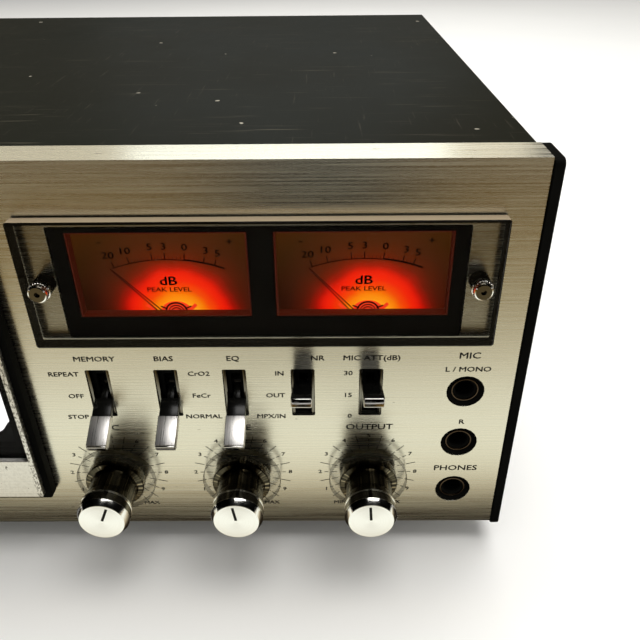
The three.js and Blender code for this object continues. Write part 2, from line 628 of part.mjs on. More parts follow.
function makeCounter() {
  const { x, z, drumRadius, width, axleY } = COUNTER;
  const front = PANEL_THICKNESS + GAP;
  const shell = block(span(x, width + 6), [front, 22], span(z, 18));
  const room = block(span(x, width + 1), [front - 1, 19], span(z, 14));
  const axleHoles = crossRod(1.5, span(x, width + 8), axleY, z, 12);
  add('counter_housing', carve([shell], [room, axleHoles]), BLACK_PLASTIC);
  const wheel = (i) => crossRod(drumRadius, span(i * 5.6, 5.2), 0, 0, 16);
  const axle = crossRod(1.1, [-width / 2 - 2.6, width / 2 + 2.6], 0, 0, 12);
  add('counter_wheels', carve([wheel(-1), wheel(0), wheel(1), axle]), BLACK_PLASTIC, { x, y: axleY, z });
}

function makeButtons() {
  const { x, z, radius } = RESET;
  add('counter_reset_button', closed(turned(
    [[0, -4], [radius - 0.5, -4], [radius, -3.4], [radius, 8], [0, 8]], x, z)), CHROME);
  const shape = roundedRectangle(POWER.x, POWER.z, POWER.width, POWER.height, 0.8);
  add('power_button', closed(slab(shape, [-6, 12])), ALUMINIUM);
}

// ---- Inside and at the back ----
function makeTransformer() {
  const [x, y] = [150, 235];
  const core = block(span(x, 72), span(y, 36), [4.3, 66]);
  const coil = block(span(x, 46), span(y, 64), [14, 56]);
  const feet = block(span(x, 92), span(y, 24), [2.8, 4.6]);
  add('power_transformer', carve([core, coil, feet]), ZINC);
}

function makeMainBoard() {
  const boardZ = [12, 13.6];
  const board = block([40, 205], [70, 190], boardZ);
  const corners = [50, 195].flatMap((x) => [80, 180].map((y) => [x, y]));
  const standoffs = corners.map(([x, y]) => post(3, [2.8, 12.5], x, y, 8));
  const capacitors = [
    [70, 160, 8, 34], [92, 160, 8, 34], [70, 136, 5, 22], [120, 170, 5, 22], [180, 110, 6, 26],
  ];
  const cans = capacitors.map(([x, y, radius, height]) => post(radius, [13, 13 + height], x, y, 12));
  const chips = [[90, 100], [115, 100], [140, 100], [150, 140]].map(([x, y]) =>
    block(span(x, 8), span(y, 20), [13, 17.5]));
  const heatSink = block([165, 168], [125, 175], [13, 45]);
  add('main_board', carve([board, ...standoffs, ...cans, ...chips, heatSink]), BOARD);
}

function makeRearSockets() {
  const { x, z, width, height } = SOCKETS;
  const back = BODY_DEPTH - 1;
  const plate = slab(roundedRectangle(x, z, width, height, 1.5), [back + GAP, back + 2.2]);
  const body = block(span(x, width - 9), [back - 12, back + 1], span(z, height - 9));
  const places = [-20, 0, 20].flatMap((dx) => [-9, 9].map((dz) => [x + dx, z + dz]));
  const barrels = places.map(([px, pz]) => rod(4.2, [back + 1, BODY_DEPTH + SOCKET_REACH], px, pz, 14));
  const bores = places.map(([px, pz]) => rod(1.7, [back - 2, BODY_DEPTH + SOCKET_REACH + 1], px, pz, 8));
  add('rear_sockets', carve([plate, body, ...barrels], bores), BLACK_PLASTIC);
}

function makePowerInlet() {
  const { x, z, width, height } = INLET;
  const back = BODY_DEPTH - 1;
  const flange = slab(roundedRectangle(x, z, width, height, 1.5), [back + GAP, back + 2.6]);
  const body = block(span(x, width - 7), [back - 16, back + 1], span(z, height - 7));
  const socket = block(span(x, width - 12), [back - 12, back + 4], span(z, height - 14));
  const pins = [-5, 5].map((dx) => rod(1.2, [back - 13, back - 1], x + dx, z, 10));
  const shell = toSolid(carve([flange, body], [socket]));
  add('power_inlet', toGeometry(shell.add(joined(pins))), BLACK_PLASTIC);
}

makeFrontPanel();
makeEndCaps();
makeTopCover();
makeBaseChassis();
makeRearPanel();
makeFeet();
makeMeterWindow();
makeMeterSurround();
METERS.forEach(makeMeter);
makeWindowScrews();
makeControlBank();
LEVERS.forEach(makeLever);
KNOBS.forEach(makeKnob);
JACKS.forEach(makeJack);
makeDoor();
makeCassetteHolder();
makeCassetteWell();
makeSpindle('left_spindle', -1);
makeSpindle('right_spindle', 1);
makeCapstan();
makeMotorPulley();
makeDriveBelt();
makeHeadBlock();
makePinchRoller();
KEYS.forEach(makeKey);
makeCounter();
makeButtons();
makeTransformer();
makeMainBoard();
makeRearSockets();
makePowerInlet();

export default deck;
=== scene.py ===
"""The looks of a front-loading stereo cassette deck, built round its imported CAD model.

Sizes are in millimetres in the deck's own frame: x = 0 in the middle of the front panel, y = 0 on
its face (positive to the back) and z = 0 at its bottom edge. spot() turns them into the row frame.
"""

import json
import math

import bmesh
import bpy
from mathutils import Matrix, Vector


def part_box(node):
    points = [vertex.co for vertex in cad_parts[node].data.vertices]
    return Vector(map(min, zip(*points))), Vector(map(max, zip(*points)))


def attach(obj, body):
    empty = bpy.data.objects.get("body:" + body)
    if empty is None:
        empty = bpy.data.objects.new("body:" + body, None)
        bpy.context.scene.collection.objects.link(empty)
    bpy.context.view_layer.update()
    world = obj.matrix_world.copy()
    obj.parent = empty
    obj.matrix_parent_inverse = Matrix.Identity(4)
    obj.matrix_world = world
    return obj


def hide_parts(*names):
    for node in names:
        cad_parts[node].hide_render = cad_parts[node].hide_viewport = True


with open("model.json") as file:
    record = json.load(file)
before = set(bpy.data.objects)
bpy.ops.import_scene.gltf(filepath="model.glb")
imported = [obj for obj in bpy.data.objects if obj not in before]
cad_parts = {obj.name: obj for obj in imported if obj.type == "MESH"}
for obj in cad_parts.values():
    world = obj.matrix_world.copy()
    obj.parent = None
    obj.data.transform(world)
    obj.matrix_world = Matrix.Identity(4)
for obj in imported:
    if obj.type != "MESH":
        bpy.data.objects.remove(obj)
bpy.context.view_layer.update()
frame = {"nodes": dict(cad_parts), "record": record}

MM = 0.001
PANEL_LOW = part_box("front_panel")[0]
ORIGIN = Vector((0, PANEL_LOW.y, PANEL_LOW.z))

LEVERS = ["memory", "bias", "eq", "noise_reduction", "mic_attenuator"]
KNOBS = {"mic": 23.0, "line": -7.8, "output": -3.7}  # each pointer, degrees clockwise from the top
KEYS = ["record", "rewind", "play", "fast_forward", "stop", "pause"]
FEET = ["front_left", "front_right", "rear_left", "rear_right"]
JACKS = ["mic_jack_left", "mic_jack_right", "phones_jack"]
SIDES = ["left", "right"]
KNOB_Z = 27.2
LEVER_Z = 65.35
LEVER_PIVOT_Y = 9.5
LEVER_REACH = 27.2
# Degrees at rest: a lever's tilt is positive downwards, and a needle's is to the left of upright.
LEVER_TILT = {"memory": 29, "bias": 29, "eq": 29, "noise_reduction": -18, "mic_attenuator": -18}
METER_Z = 112
DIAL_Y = 6.3
NEEDLE_PIVOT_Z = 92.9
NEEDLE_LENGTH = 25.9
NEEDLE_REST = 42
# The dial's scale: an arc round a centre below the dial, with its marks in degrees from upright.
SCALE_CENTER = (0.8, -48.6)
SCALE_RADIUS = 51.7
SCALE_ENDS = (-20.5, 21.3)
SCALE_NUMBERS = [("20", -19.2), ("10", -13.3), ("5", -4.8), ("3", -0.2), ("0", 6.6), ("3", 13.5), ("5", 17.5)]
SCALE_ZERO = 6.6
SCALE_STEPS = [-17.6, -12.2, -11.1, -10, -8.9, -7.7, -6.4, -3.7, -2.6, -1.4, 1.3, 2.6, 4, 5.3, 8.3, 10, 11.8,
               14.8, 16.2]
PRINT = 0.04  # thickness of a printed layer
PRINT_RISE = 1.38  # a typeface's size for each millimetre of its capitals' height
PRINT_WIDTH = 1.22  # the letters are set this much wider than the typeface
CAMERA_PLACE = Vector((150.62, -327.53, 223.72)) * MM  # in the row frame
CAMERA_PITCH, CAMERA_YAW, CAMERA_ROLL = (math.radians(a) for a in (31.832, -0.520, -0.570))
CAMERA_LENS = 37.6059


# ---- Places ----
def spot(x, y, z):
    return ORIGIN + Vector((x, y, z)) * MM


def local_box(node):
    """The node's lowest and highest corner in the deck's own millimetres."""
    low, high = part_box(node)
    return (low - ORIGIN) / MM, (high - ORIGIN) / MM


def middle(node):
    low, high = local_box(node)
    return (low + high) / 2


# ---- Node materials ----
class Look:
    """A Principled material and short calls for the nodes that give it its detail."""

    def __init__(self, name, color, roughness, metallic=0.0, **sockets):
        self.material = bpy.data.materials.new(name)
        self.material.use_nodes = True
        self.nodes = self.material.node_tree.nodes
        self.links = self.material.node_tree.links
        self.shader = self.nodes["Principled BSDF"]
        self.shader.inputs["Base Color"].default_value = (*color, 1)
        self.shader.inputs["Roughness"].default_value = roughness
        self.shader.inputs["Metallic"].default_value = metallic
        for key, value in sockets.items():
            self.shader.inputs[key.replace("_", " ")].default_value = value

    def node(self, kind, **values):
        made = self.nodes.new(kind)
        for key, value in values.items():
            setattr(made, key, value)
        return made

    def position(self, scale=(1, 1, 1), turn=(0, 0, 0)):
        """Object coordinates in metres, stretched by scale."""
        coordinates = self.node("ShaderNodeTexCoord")
        mapping = self.node("ShaderNodeMapping")
        mapping.inputs["Scale"].default_value = scale
        mapping.inputs["Rotation"].default_value = [math.radians(a) for a in turn]
        self.links.new(coordinates.outputs["Object"], mapping.inputs["Vector"])
        return mapping.outputs["Vector"]

    def noise(self, scale, stretch=(1, 1, 1), detail=3, turn=(0, 0, 0)):
        noise = self.node("ShaderNodeTexNoise")
        noise.inputs["Scale"].default_value = scale
        noise.inputs["Detail"].default_value = detail
        self.links.new(self.position(stretch, turn), noise.inputs["Vector"])
        return noise.outputs["Fac"]

    def axis(self, letter):
        """One object coordinate, in metres."""
        parts = self.node("ShaderNodeSeparateXYZ")
        self.links.new(self.position(), parts.inputs[0])
        return parts.outputs[letter]

    def ramp(self, value, stops):
        """A colour ramp: stops are (place, colour) pairs."""
        ramp = self.node("ShaderNodeValToRGB")
        elements = ramp.color_ramp.elements
        while len(elements) < len(stops):
            elements.new(0.5)
        for element, (place, color) in zip(elements, stops):
            element.position = place
            element.color = (*color, 1) if len(color) == 3 else color
        self.links.new(value, ramp.inputs["Fac"])
        return ramp.outputs["Color"]

    def span(self, value, low, high, to_low, to_high):
        """A value remapped from one range to another, and held at the ends."""
        remap = self.node("ShaderNodeMapRange")
        for key, number in zip(("From Min", "From Max", "To Min", "To Max"), (low, high, to_low, to_high)):
            remap.inputs[key].default_value = number
        self.links.new(value, remap.inputs["Value"])
        return remap.outputs["Result"]

    def math(self, operation, a, b):
        node = self.node("ShaderNodeMath", operation=operation)
        for socket, value in zip(node.inputs, (a, b)):
            if isinstance(value, (int, float)):
                socket.default_value = value
            else:
                self.links.new(value, socket)
        return node.outputs[0]

    def mix(self, factor, a, b, blend="MIX"):
        mix = self.node("ShaderNodeMix", data_type="RGBA", blend_type=blend)
        for socket, value in zip((mix.inputs[0], mix.inputs[6], mix.inputs[7]), (factor, a, b)):
            if isinstance(value, (int, float)):
                socket.default_value = value
            elif isinstance(value, tuple):
                socket.default_value = (*value, 1)
            else:
                self.links.new(value, socket)
        return mix.outputs[2]

    def set(self, socket, value):
        self.links.new(value, self.shader.inputs[socket])
        return self

    def bump(self, height, strength, distance):
        bump = self.node("ShaderNodeBump")
        bump.inputs["Strength"].default_value = strength
        bump.inputs["Distance"].default_value = distance
        self.links.new(height, bump.inputs["Height"])
        last = self.shader.inputs["Normal"]
        if last.is_linked:
            self.links.new(last.links[0].from_socket, bump.inputs["Normal"])
        self.links.new(bump.outputs["Normal"], last)
        return self


def brushed(name, color, roughness, stretch, grain=0.25):
    """Aluminium or steel with fine parallel grooves: stretch is smallest along the brushing."""
    look = Look(name, color, roughness, 1.0)
    lines = look.noise(1, stretch, 4)
    patches = look.noise(14, detail=4)
    dark = tuple(c * 0.8 for c in color)
    light = tuple(min(1, c * 1.08) for c in color)
    tone = look.ramp(lines, [(0.3, dark), (0.7, light)])
    worn = look.mix(look.span(patches, 0.35, 0.7, 0, 0.35), tone, tuple(c * 0.86 for c in color))
    look.set("Base Color", worn)
    look.set("Roughness", look.span(lines, 0.3, 0.7, roughness - 0.06, roughness + 0.08))
    look.bump(lines, grain, 0.00004)
    return look


def panel_look():
    look = brushed("panel_aluminium", (0.86, 0.83, 0.7), 0.26, (14, 1800, 1800), 0.18)
    look.shader.inputs["Anisotropic"].default_value = 0.6
    tangent = look.node("ShaderNodeTangent", direction_type="RADIAL", axis="X")
    look.links.new(tangent.outputs[0], look.shader.inputs["Tangent"])
    # Small dark nicks, scattered over the panel.
    nicks = look.noise(420, (0.35, 1, 1), 2)
    color = look.shader.inputs["Base Color"].links[0].from_socket
    look.set("Base Color", look.mix(look.span(nicks, 0.735, 0.76, 0, 0.7), color, (0.12, 0.1, 0.08)))
    return look.material


def door_face_look():
    """Worn aluminium: specks all over, and thick ones on the narrow strips beside the window."""
    look = brushed("worn_aluminium", (0.86, 0.84, 0.79), 0.36, (12, 1500, 1500), 0.35)
    low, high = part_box("door_face")
    beside = look.math("ABSOLUTE", look.math("SUBTRACT", look.axis("X"), (low.x + high.x) / 2), 0)
    half = (high.x - low.x) / 2
    strip = look.span(beside, half - 0.0024, half - 0.0016, 0.12, 0.85)
    specks = look.noise(1500, (1, 1, 0.6), 2)
    worn = look.math("MULTIPLY", look.span(specks, 0.44, 0.62, 0, 1), strip)
    pits = look.span(look.noise(500, detail=1), 0.74, 0.78, 0, 0.8)
    color = look.shader.inputs["Base Color"].links[0].from_socket
    color = look.mix(worn, color, (0.1, 0.09, 0.075))
    look.set("Base Color", look.mix(pits, color, (0.05, 0.04, 0.03)))
    look.bump(specks, 0.4, 0.00008)
    return look.material


def chrome_look(name="chrome", color=(0.88, 0.87, 0.84), roughness=0.08):
    look = Look(name, color, roughness, 1.0)
    haze = look.noise(260, detail=5)
    look.set("Roughness", look.span(haze, 0.35, 0.75, roughness, roughness + 0.12))
    look.bump(look.noise(1400, detail=2), 0.05, 0.00002)
    return look.material


def fluted_look():
    """Black chrome with faint light streaks that run along the knob's neck: painted reflections of the
    surroundings.
    """
    look = Look("black_chrome_painted_reflections", (0.1, 0.09, 0.07), 0.16, 1.0)
    around = look.node("ShaderNodeMath", operation="ARCTAN2")
    look.links.new(look.axis("X"), around.inputs[0])
    look.links.new(look.axis("Z"), around.inputs[1])
    reflection_streaks = look.node("ShaderNodeTexNoise", noise_dimensions="1D")
    reflection_streaks.inputs["Scale"].default_value = 9
    look.links.new(around.outputs[0], reflection_streaks.inputs["W"])
    look.set("Base Color", look.ramp(reflection_streaks.outputs["Fac"], [
        (0.35, (0.02, 0.018, 0.013)), (0.55, (0.08, 0.07, 0.045)), (0.7, (0.3, 0.26, 0.18))]))
    look.set("Roughness", look.span(look.noise(120, detail=4), 0.3, 0.7, 0.1, 0.24))
    return look.material


def spun_look():
    """A disc turned on a lathe: rings round the knob's own axis."""
    look = Look("spun_aluminium", (0.93, 0.91, 0.85), 0.3, 1.0)
    x, z = look.axis("X"), look.axis("Z")
    radius = look.math("SQRT", look.math("ADD", look.math("MULTIPLY", x, x), look.math("MULTIPLY", z, z)), 0)
    rings = look.node("ShaderNodeTexNoise", noise_dimensions="1D")
    rings.inputs["Scale"].default_value = 5200
    look.links.new(radius, rings.inputs["W"])
    tones = [(0.3, (0.86, 0.85, 0.82)), (0.7, (0.98, 0.97, 0.95))]
    look.set("Base Color", look.ramp(rings.outputs["Fac"], tones))
    look.bump(rings.outputs["Fac"], 0.3, 0.00003)
    look.shader.inputs["Anisotropic"].default_value = 0.7
    look.shader.inputs["Anisotropic Rotation"].default_value = 0.25
    tangent = look.node("ShaderNodeTangent", direction_type="RADIAL", axis="Y")
    look.links.new(tangent.outputs[0], look.shader.inputs["Tangent"])
    return look.material


def enamel_look():
    """Dark enamel on steel, with scuffs, fine scratches and small chips."""
    look = Look("dark_enamel", (0.012, 0.012, 0.009), 0.42, Specular_IOR_Level=0.012)
    cloud = look.noise(9, (1, 0.6, 1), 6)
    base = look.ramp(cloud, [(0.25, (0.005, 0.0065, 0.0042)), (0.75, (0.013, 0.0122, 0.0075))])
    scratches = look.noise(1, (30, 900, 900), 6, (0, 0, 24))
    scuffs = look.noise(1, (1100, 40, 900), 6, (0, 0, 8))
    marked = look.mix(look.span(scratches, 0.64, 0.72, 0, 0.25), base, (0.16, 0.14, 0.1))
    marked = look.mix(look.span(scuffs, 0.66, 0.74, 0, 0.2), marked, (0.14, 0.12, 0.09))
    chips = look.noise(150, detail=1)
    marked = look.mix(look.span(chips, 0.79, 0.8, 0, 0.8), marked, (0.4, 0.37, 0.3))
    look.set("Base Color", marked)
    look.set("Roughness", look.span(cloud, 0.3, 0.7, 0.36, 0.52))
    look.bump(look.noise(2600, detail=2), 0.12, 0.00003)
    return look.material


def plastic_look(name, color, roughness, grain=0.15, shine=0.5):
    look = Look(name, color, roughness, Specular_IOR_Level=shine)
    mottle = look.noise(60, detail=5)
    look.set("Base Color", look.ramp(mottle, [
        (0.3, tuple(c * 0.7 for c in color)), (0.75, tuple(min(1, c * 1.5) for c in color))]))
    look.set("Roughness", look.span(mottle, 0.3, 0.7, roughness - 0.05, roughness + 0.08))
    look.bump(look.noise(3000, detail=2), grain, 0.00004)
    return look.material


def rubber_look():
    look = Look("rubber", (0.02, 0.02, 0.021), 0.8)
    dust = look.noise(120, detail=6)
    look.set("Base Color", look.ramp(dust, [(0.4, (0.014, 0.014, 0.015)), (0.8, (0.06, 0.058, 0.052))]))
    look.bump(look.noise(2200, detail=3), 0.3, 0.00006)
    return look.material


def zinc_look():
    """Zinc plate, with the faint crystals of its coating."""
    look = Look("zinc_plate", (0.6, 0.6, 0.57), 0.38, 1.0)
    cells = look.node("ShaderNodeTexVoronoi")
    cells.inputs["Scale"].default_value = 160
    look.links.new(look.position(), cells.inputs["Vector"])
    look.set("Base Color", look.mix(0.25, (0.6, 0.6, 0.57), cells.outputs["Color"], "SOFT_LIGHT"))
    look.set("Roughness", look.span(look.noise(45, detail=4), 0.3, 0.7, 0.3, 0.5))
    return look.material


def acrylic_look(name, color, alpha, shine=0.1):
    """Clear plastic: what lies behind shows through, a little darker."""
    look = Look(name, color, 0.06, IOR=1.49, Alpha=alpha, Specular_IOR_Level=shine)
    look.set("Roughness", look.span(look.noise(35, detail=5), 0.4, 0.75, 0.03, 0.14))
    look.bump(look.noise(300, (1, 1, 0.2), 2), 0.01, 0.00002)
    return look.material


def dial_look():
    """A meter's dial, with the light of a lamp below its lower edge painted on as glow: a yellow patch in a
    red halo that fades to dark brown further up."""
    look = Look("meter_dial", (0.012, 0.006, 0.003), 0.55, Specular_IOR_Level=0.03)
    lamp = Vector((3.2, -18)) * MM
    x = look.math("SUBTRACT", look.axis("X"), lamp.x)
    z = look.math("SUBTRACT", look.axis("Z"), lamp.y)
    squares = look.math("ADD", look.math("MULTIPLY", x, x), look.math("MULTIPLY", z, z))
    uneven = look.math("MULTIPLY", look.math("SUBTRACT", look.noise(90, detail=2), 0.5), 0.004)
    away = look.span(look.math("ADD", look.math("SQRT", squares, 0), uneven), 0, 0.036, 0, 1)
    red = look.ramp(away, [
        (0.0, (1, 0.008, 0.001)), (0.4, (1, 0.006, 0.001)), (0.45, (0.86, 0.007, 0.001)),
        (0.51, (0.38, 0.005, 0.001)), (0.58, (0.15, 0.006, 0.001)), (0.66, (0.07, 0.006, 0.001)),
        (0.78, (0.03, 0.004, 0.001)), (1.0, (0.006, 0.002, 0))])
    yellow = look.ramp(away, [
        (0.0, (0.2, 0.55, 0.03)), (0.16, (0.15, 0.4, 0.01)), (0.24, (0.05, 0.24, 0.001)),
        (0.3, (0, 0.07, 0)), (0.37, (0, 0.014, 0)), (0.46, (0, 0, 0))])
    height = look.span(look.axis("Z"), -0.012, 0.012, 0, 1)
    upper = look.ramp(height, [(0, (0, 0, 0)), (1, (0.046, 0.0125, 0.0012))])
    red = look.mix(1.0, red, upper, "ADD")
    look.set("Emission Color", look.mix(1.0, red, yellow, "ADD"))
    look.shader.inputs["Emission Strength"].default_value = 1.25
    look.bump(look.noise(1800, detail=2), 0.1, 0.00003)
    return look.material


def lit_look(name, color, strength):
    look = Look(name, color, 0.4, Emission_Strength=strength, Specular_IOR_Level=0.1)
    mottle = look.noise(90, detail=3)
    look.set("Emission Color", look.ramp(mottle, [(0.2, tuple(c * 0.85 for c in color)), (0.8, color)]))
    return look.material


def board_look():
    look = Look("circuit_board", (0.05, 0.16, 0.06), 0.45)
    tracks = look.noise(1, (900, 60, 60), 1)
    copper = look.span(tracks, 0.48, 0.52, 0, 1)
    look.set("Base Color", look.mix(copper, (0.03, 0.12, 0.05), (0.07, 0.22, 0.08)))
    look.bump(tracks, 0.2, 0.00008)
    return look.material


PANEL = panel_look()
DOOR_FACE = door_face_look()
ALUMINIUM = brushed("key_aluminium", (0.85, 0.83, 0.78), 0.3, (1500, 25, 25), 0.06).material
PAD = brushed("lever_pad", (0.86, 0.84, 0.82), 0.3, (1600, 40, 40), 0.06).material
SPUN = spun_look()
CHROME = chrome_look()
DARK_CHROME = chrome_look("dark_chrome", (0.2, 0.19, 0.16), 0.1)
CONTACT_RING = chrome_look("contact_ring", (0.1, 0.07, 0.045), 0.25)
ENAMEL = enamel_look()
BLACK = plastic_look("matt_black", (0.0035, 0.0035, 0.003), 0.42, shine=0.008)
GLOSS_BLACK = plastic_look("gloss_black", (0.004, 0.004, 0.0035), 0.14, 0.03, 0.3)
BLACK_CHROME = fluted_look()
WHITE_PLASTIC = plastic_look("white_plastic", (0.75, 0.74, 0.7), 0.35)
RED_PLASTIC = plastic_look("red_plastic", (0.4, 0.02, 0.015), 0.35)
INK = plastic_look("black_ink", (0.008, 0.007, 0.006), 0.5, shine=0.05)
RED_INK = plastic_look("red_ink", (0.45, 0.02, 0.015), 0.5)
RUBBER = rubber_look()
ZINC = zinc_look()
SMOKED = acrylic_look("smoked_acrylic", (0.015, 0.012, 0.008), 0.17, shine=0.02)
# Copies of the window's acrylic for its edges: the darker one is painted shade along the sides and bottom,
# the lighter one painted light along the top.
SMOKED_EDGE_PAINTED_SHADE = acrylic_look("smoked_acrylic_edge_painted_shade", (0.004, 0.0033, 0.002), 0.985, shine=0.04)
SMOKED_TOP_PAINTED_LIGHT = acrylic_look("smoked_acrylic_top_edge_painted_light", (0.5, 0.4, 0.27), 0.95, shine=1.0)
DOOR_GLASS = acrylic_look("door_acrylic", (0.01, 0.009, 0.008), 0.5, shine=0.05)
SKIRT = acrylic_look("clear_skirt", (0.1, 0.09, 0.06), 0.08, shine=0.4)
# A darker, less clear copy of the skirt's acrylic for its rim: painted shade along the edge.
SKIRT_RIM_PAINTED_SHADE = acrylic_look("clear_skirt_rim_painted_shade", (0.03, 0.025, 0.012), 0.55, shine=0.6)
DIAL = dial_look()
DIAL_INK = plastic_look("dial_ink", (0.004, 0.001, 0.0005), 0.6, shine=0.02)
# Painted light: the needle glows faintly red, as the meter lamp lights it.
NEEDLE = lit_look("needle", (0.03, 0.003, 0.001), 0.5)
# Painted light: the red glow of the meter lamp on the movement's cover and the dial's red bars.
RED_LIT = lit_look("red_lit", (0.8, 0.04, 0.01), 1.3)
# Painted light: the glow of the meter lamp on the walls of the opening in front of each dial.
RED_WALL_PAINTED_GLOW = lit_look("red_wall_painted_glow", (0.09, 0.01, 0.003), 0.5)
OPAL = lit_look("opal_lamp", (1.0, 0.99, 0.97), 5.0)
BOARD = board_look()


# ---- Mesh pieces ----
def piece(name, mesh, materials, body, place=(0, 0, 0), turn=(0, 0, 0), replaces=(),
          angle=35):
    """A mesh as a piece of the deck: smooth except at its sharp edges, and riding on its body."""
    data = bpy.data.meshes.new(name)
    bmesh.ops.remove_doubles(mesh, verts=mesh.verts, dist=1e-7)
    bmesh.ops.recalc_face_normals(mesh, faces=mesh.faces)
    mesh.to_mesh(data)
    mesh.free()
    data.polygons.foreach_set("use_smooth", [True] * len(data.polygons))
    data.set_sharp_from_angle(angle=math.radians(angle))
    for material in materials:
        data.materials.append(material)
    made = bpy.data.objects.new(name, data)
    bpy.context.scene.collection.objects.link(made)
    made.location = place
    made.rotation_euler = [math.radians(a) for a in turn]
    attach(made, body)
    if replaces:
        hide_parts(*replaces)
    return made


def lathe(mesh, rings, center=(0, 0, 0), segments=96):
    """A closed body turned about the y axis, from [(radius, y), ...] in millimetres, with each point
    optionally giving the material of the band that follows it."""
    loops = []
    for ring in rings:
        radius, y = ring[:2]
        if radius == 0:
            loops.append([mesh.verts.new(Vector((center[0], center[1] + y, center[2])) * MM)])
            continue
        loop = []
        for k in range(segments):
            a = 2 * math.pi * k / segments
            at = Vector((center[0] + radius * math.cos(a), center[1] + y, center[2] + radius * math.sin(a)))
            loop.append(mesh.verts.new(at * MM))
        loops.append(loop)
    for here, after, ring in zip(loops, loops[1:], rings):
        material = ring[2] if len(ring) > 2 else 0
        for k in range(segments):
            corners = [here[k % len(here)], here[(k + 1) % len(here)]]
            corners += [after[(k + 1) % len(after)], after[k % len(after)]]
            unique = list(dict.fromkeys(corners))
            if len(unique) > 2:
                mesh.faces.new(unique).material_index = material
    return mesh


def box_mesh(mesh, x, y, z, bevel=0.0, material=0, segments=2):
    """A block from its spans in millimetres, with its edges rounded by bevel."""
    before = set(mesh.faces)
    made = bmesh.ops.create_cube(mesh, size=1)["verts"]
    low = Vector((x[0], y[0], z[0]))
    size = Vector((x[1] - x[0], y[1] - y[0], z[1] - z[0]))
    for vert in made:
        vert.co = Vector([(low[i] + (vert.co[i] + 0.5) * size[i]) * MM for i in range(3)])
    if bevel:
        edges = list(dict.fromkeys(edge for vert in made for edge in vert.link_edges))
        bmesh.ops.bevel(mesh, geom=edges, offset=bevel * MM, segments=segments, profile=0.5, affect="EDGES")
    tint(mesh, before, material)


def tint(mesh, before, material):
    """Gives its material to every face that the mesh didn't have before."""
    for face in set(mesh.faces) - before:
        face.material_index = material


def prism(mesh, outline, y0, y1, material=0):
    """A closed outline [(x, z), ...] in millimetres, as a body from y0 back to y1."""
    front = [mesh.verts.new(Vector((x, y0, z)) * MM) for x, z in outline]
    back = [mesh.verts.new(Vector((x, y1, z)) * MM) for x, z in outline]
    faces = [mesh.faces.new(front), mesh.faces.new(list(reversed(back)))]
    for k in range(len(outline)):
        after = (k + 1) % len(outline)
        faces.append(mesh.faces.new([front[after], front[k], back[k], back[after]]))
    for face in faces:
        face.material_index = material
    return faces


def softened(node, material, width=0.3, segments=2, angle=30):
    """The CAD node's own shape as a new piece, with its sharp edges rounded."""
    source = frame["nodes"][node]
    mesh = bmesh.new()
    mesh.from_mesh(source.data)
    bmesh.ops.remove_doubles(mesh, verts=mesh.verts, dist=1e-6)
    flat = math.radians(1)
    bmesh.ops.dissolve_limit(mesh, angle_limit=flat, verts=mesh.verts, edges=mesh.edges)
    limit = math.radians(angle)
    sharp = [edge for edge in mesh.edges if edge.is_manifold and edge.calc_face_angle(0) > limit]
    bmesh.ops.bevel(mesh, geom=sharp, offset=width * MM, segments=segments, profile=0.5, affect="EDGES",
                    clamp_overlap=True)
    made = piece(f"{node}_shell", mesh, [material], body_of(node), replaces=[node])
    made.modifiers.new("weighted", "WEIGHTED_NORMAL").keep_sharp = True
    return made


def body_of(node):
    bodies = frame["record"]["behaviour"]["bodies"]
    return next(name for name, nodes in bodies.items() if node in nodes)


def lettering(name, words, material, body, y, place=ORIGIN, turn=(0, 0, 0)):
    """Printed words and numbers, a thin layer that stands on the surface at y, measured from place.
    Each word is (text, x, z, height of a capital, side), with side L, C or R, and may add its boldness:
    it is printed twice, moved that far each way along a slant, which thickens its strokes."""
    mesh = bmesh.new()
    aligns = {"L": "LEFT", "C": "CENTER", "R": "RIGHT"}
    for text, x, z, height, side, *more in words:
        curve = bpy.data.curves.new("word", "FONT")
        curve.body = text
        curve.align_x = aligns[side]
        curve.align_y = "CENTER"
        curve.size = height * PRINT_RISE * MM
        curve.extrude = PRINT / 2 * MM
        curve.resolution_u = 2
        written = bpy.data.objects.new("word", curve)
        bpy.context.scene.collection.objects.link(written)
        bpy.context.view_layer.update()
        graph = bpy.context.evaluated_depsgraph_get()
        data = bpy.data.meshes.new_from_object(written.evaluated_get(graph))
        bold = more[0] if more else 0.075
        wide = Matrix.Diagonal((PRINT_WIDTH, 1, 1, 1))
        stand = Matrix.Rotation(math.radians(90), 4, "X")
        first = Vector((x - bold, y - PRINT / 2, z - bold * 0.6)) * MM
        data.transform(Matrix.Translation(first) @ stand @ wide)
        mesh.from_mesh(data)
        second = Vector((2 * bold, -PRINT / 4, 1.2 * bold)) * MM
        data.transform(Matrix.Translation(second))
        mesh.from_mesh(data)
        bpy.data.objects.remove(written)
        bpy.data.curves.remove(curve)
        bpy.data.meshes.remove(data)
    return piece(name, mesh, [material], body, place, turn)


def ray(mesh, center, angle, inner, outer, width, y, thickness=PRINT):
    """A thin printed line along a radius; angle is in degrees clockwise from the top."""
    a = math.radians(angle)
    along = Vector((math.sin(a), math.cos(a)))
    across = Vector((math.cos(a), -math.sin(a)))
    half = width / 2
    corners = []
    for radius, side in ((inner, -1), (inner, 1), (outer, 1), (outer, -1)):
        corners.append(Vector(center) + along * radius + across * side * half)
    prism(mesh, corners, y - thickness, y)


def arc_band(mesh, center, radius, angles, width, y, thickness=PRINT, steps=40):
    """A printed arc, from one angle to another, clockwise from the top."""
    outline = []
    for side in (1, -1):
        for k in range(steps + 1):
            share = k / steps if side > 0 else 1 - k / steps
            a = math.radians(angles[0] + (angles[1] - angles[0]) * share)
            r = radius + side * width / 2
            outline.append((center[0] + r * math.sin(a), center[1] + r * math.cos(a)))
    prism(mesh, outline, y - thickness, y)


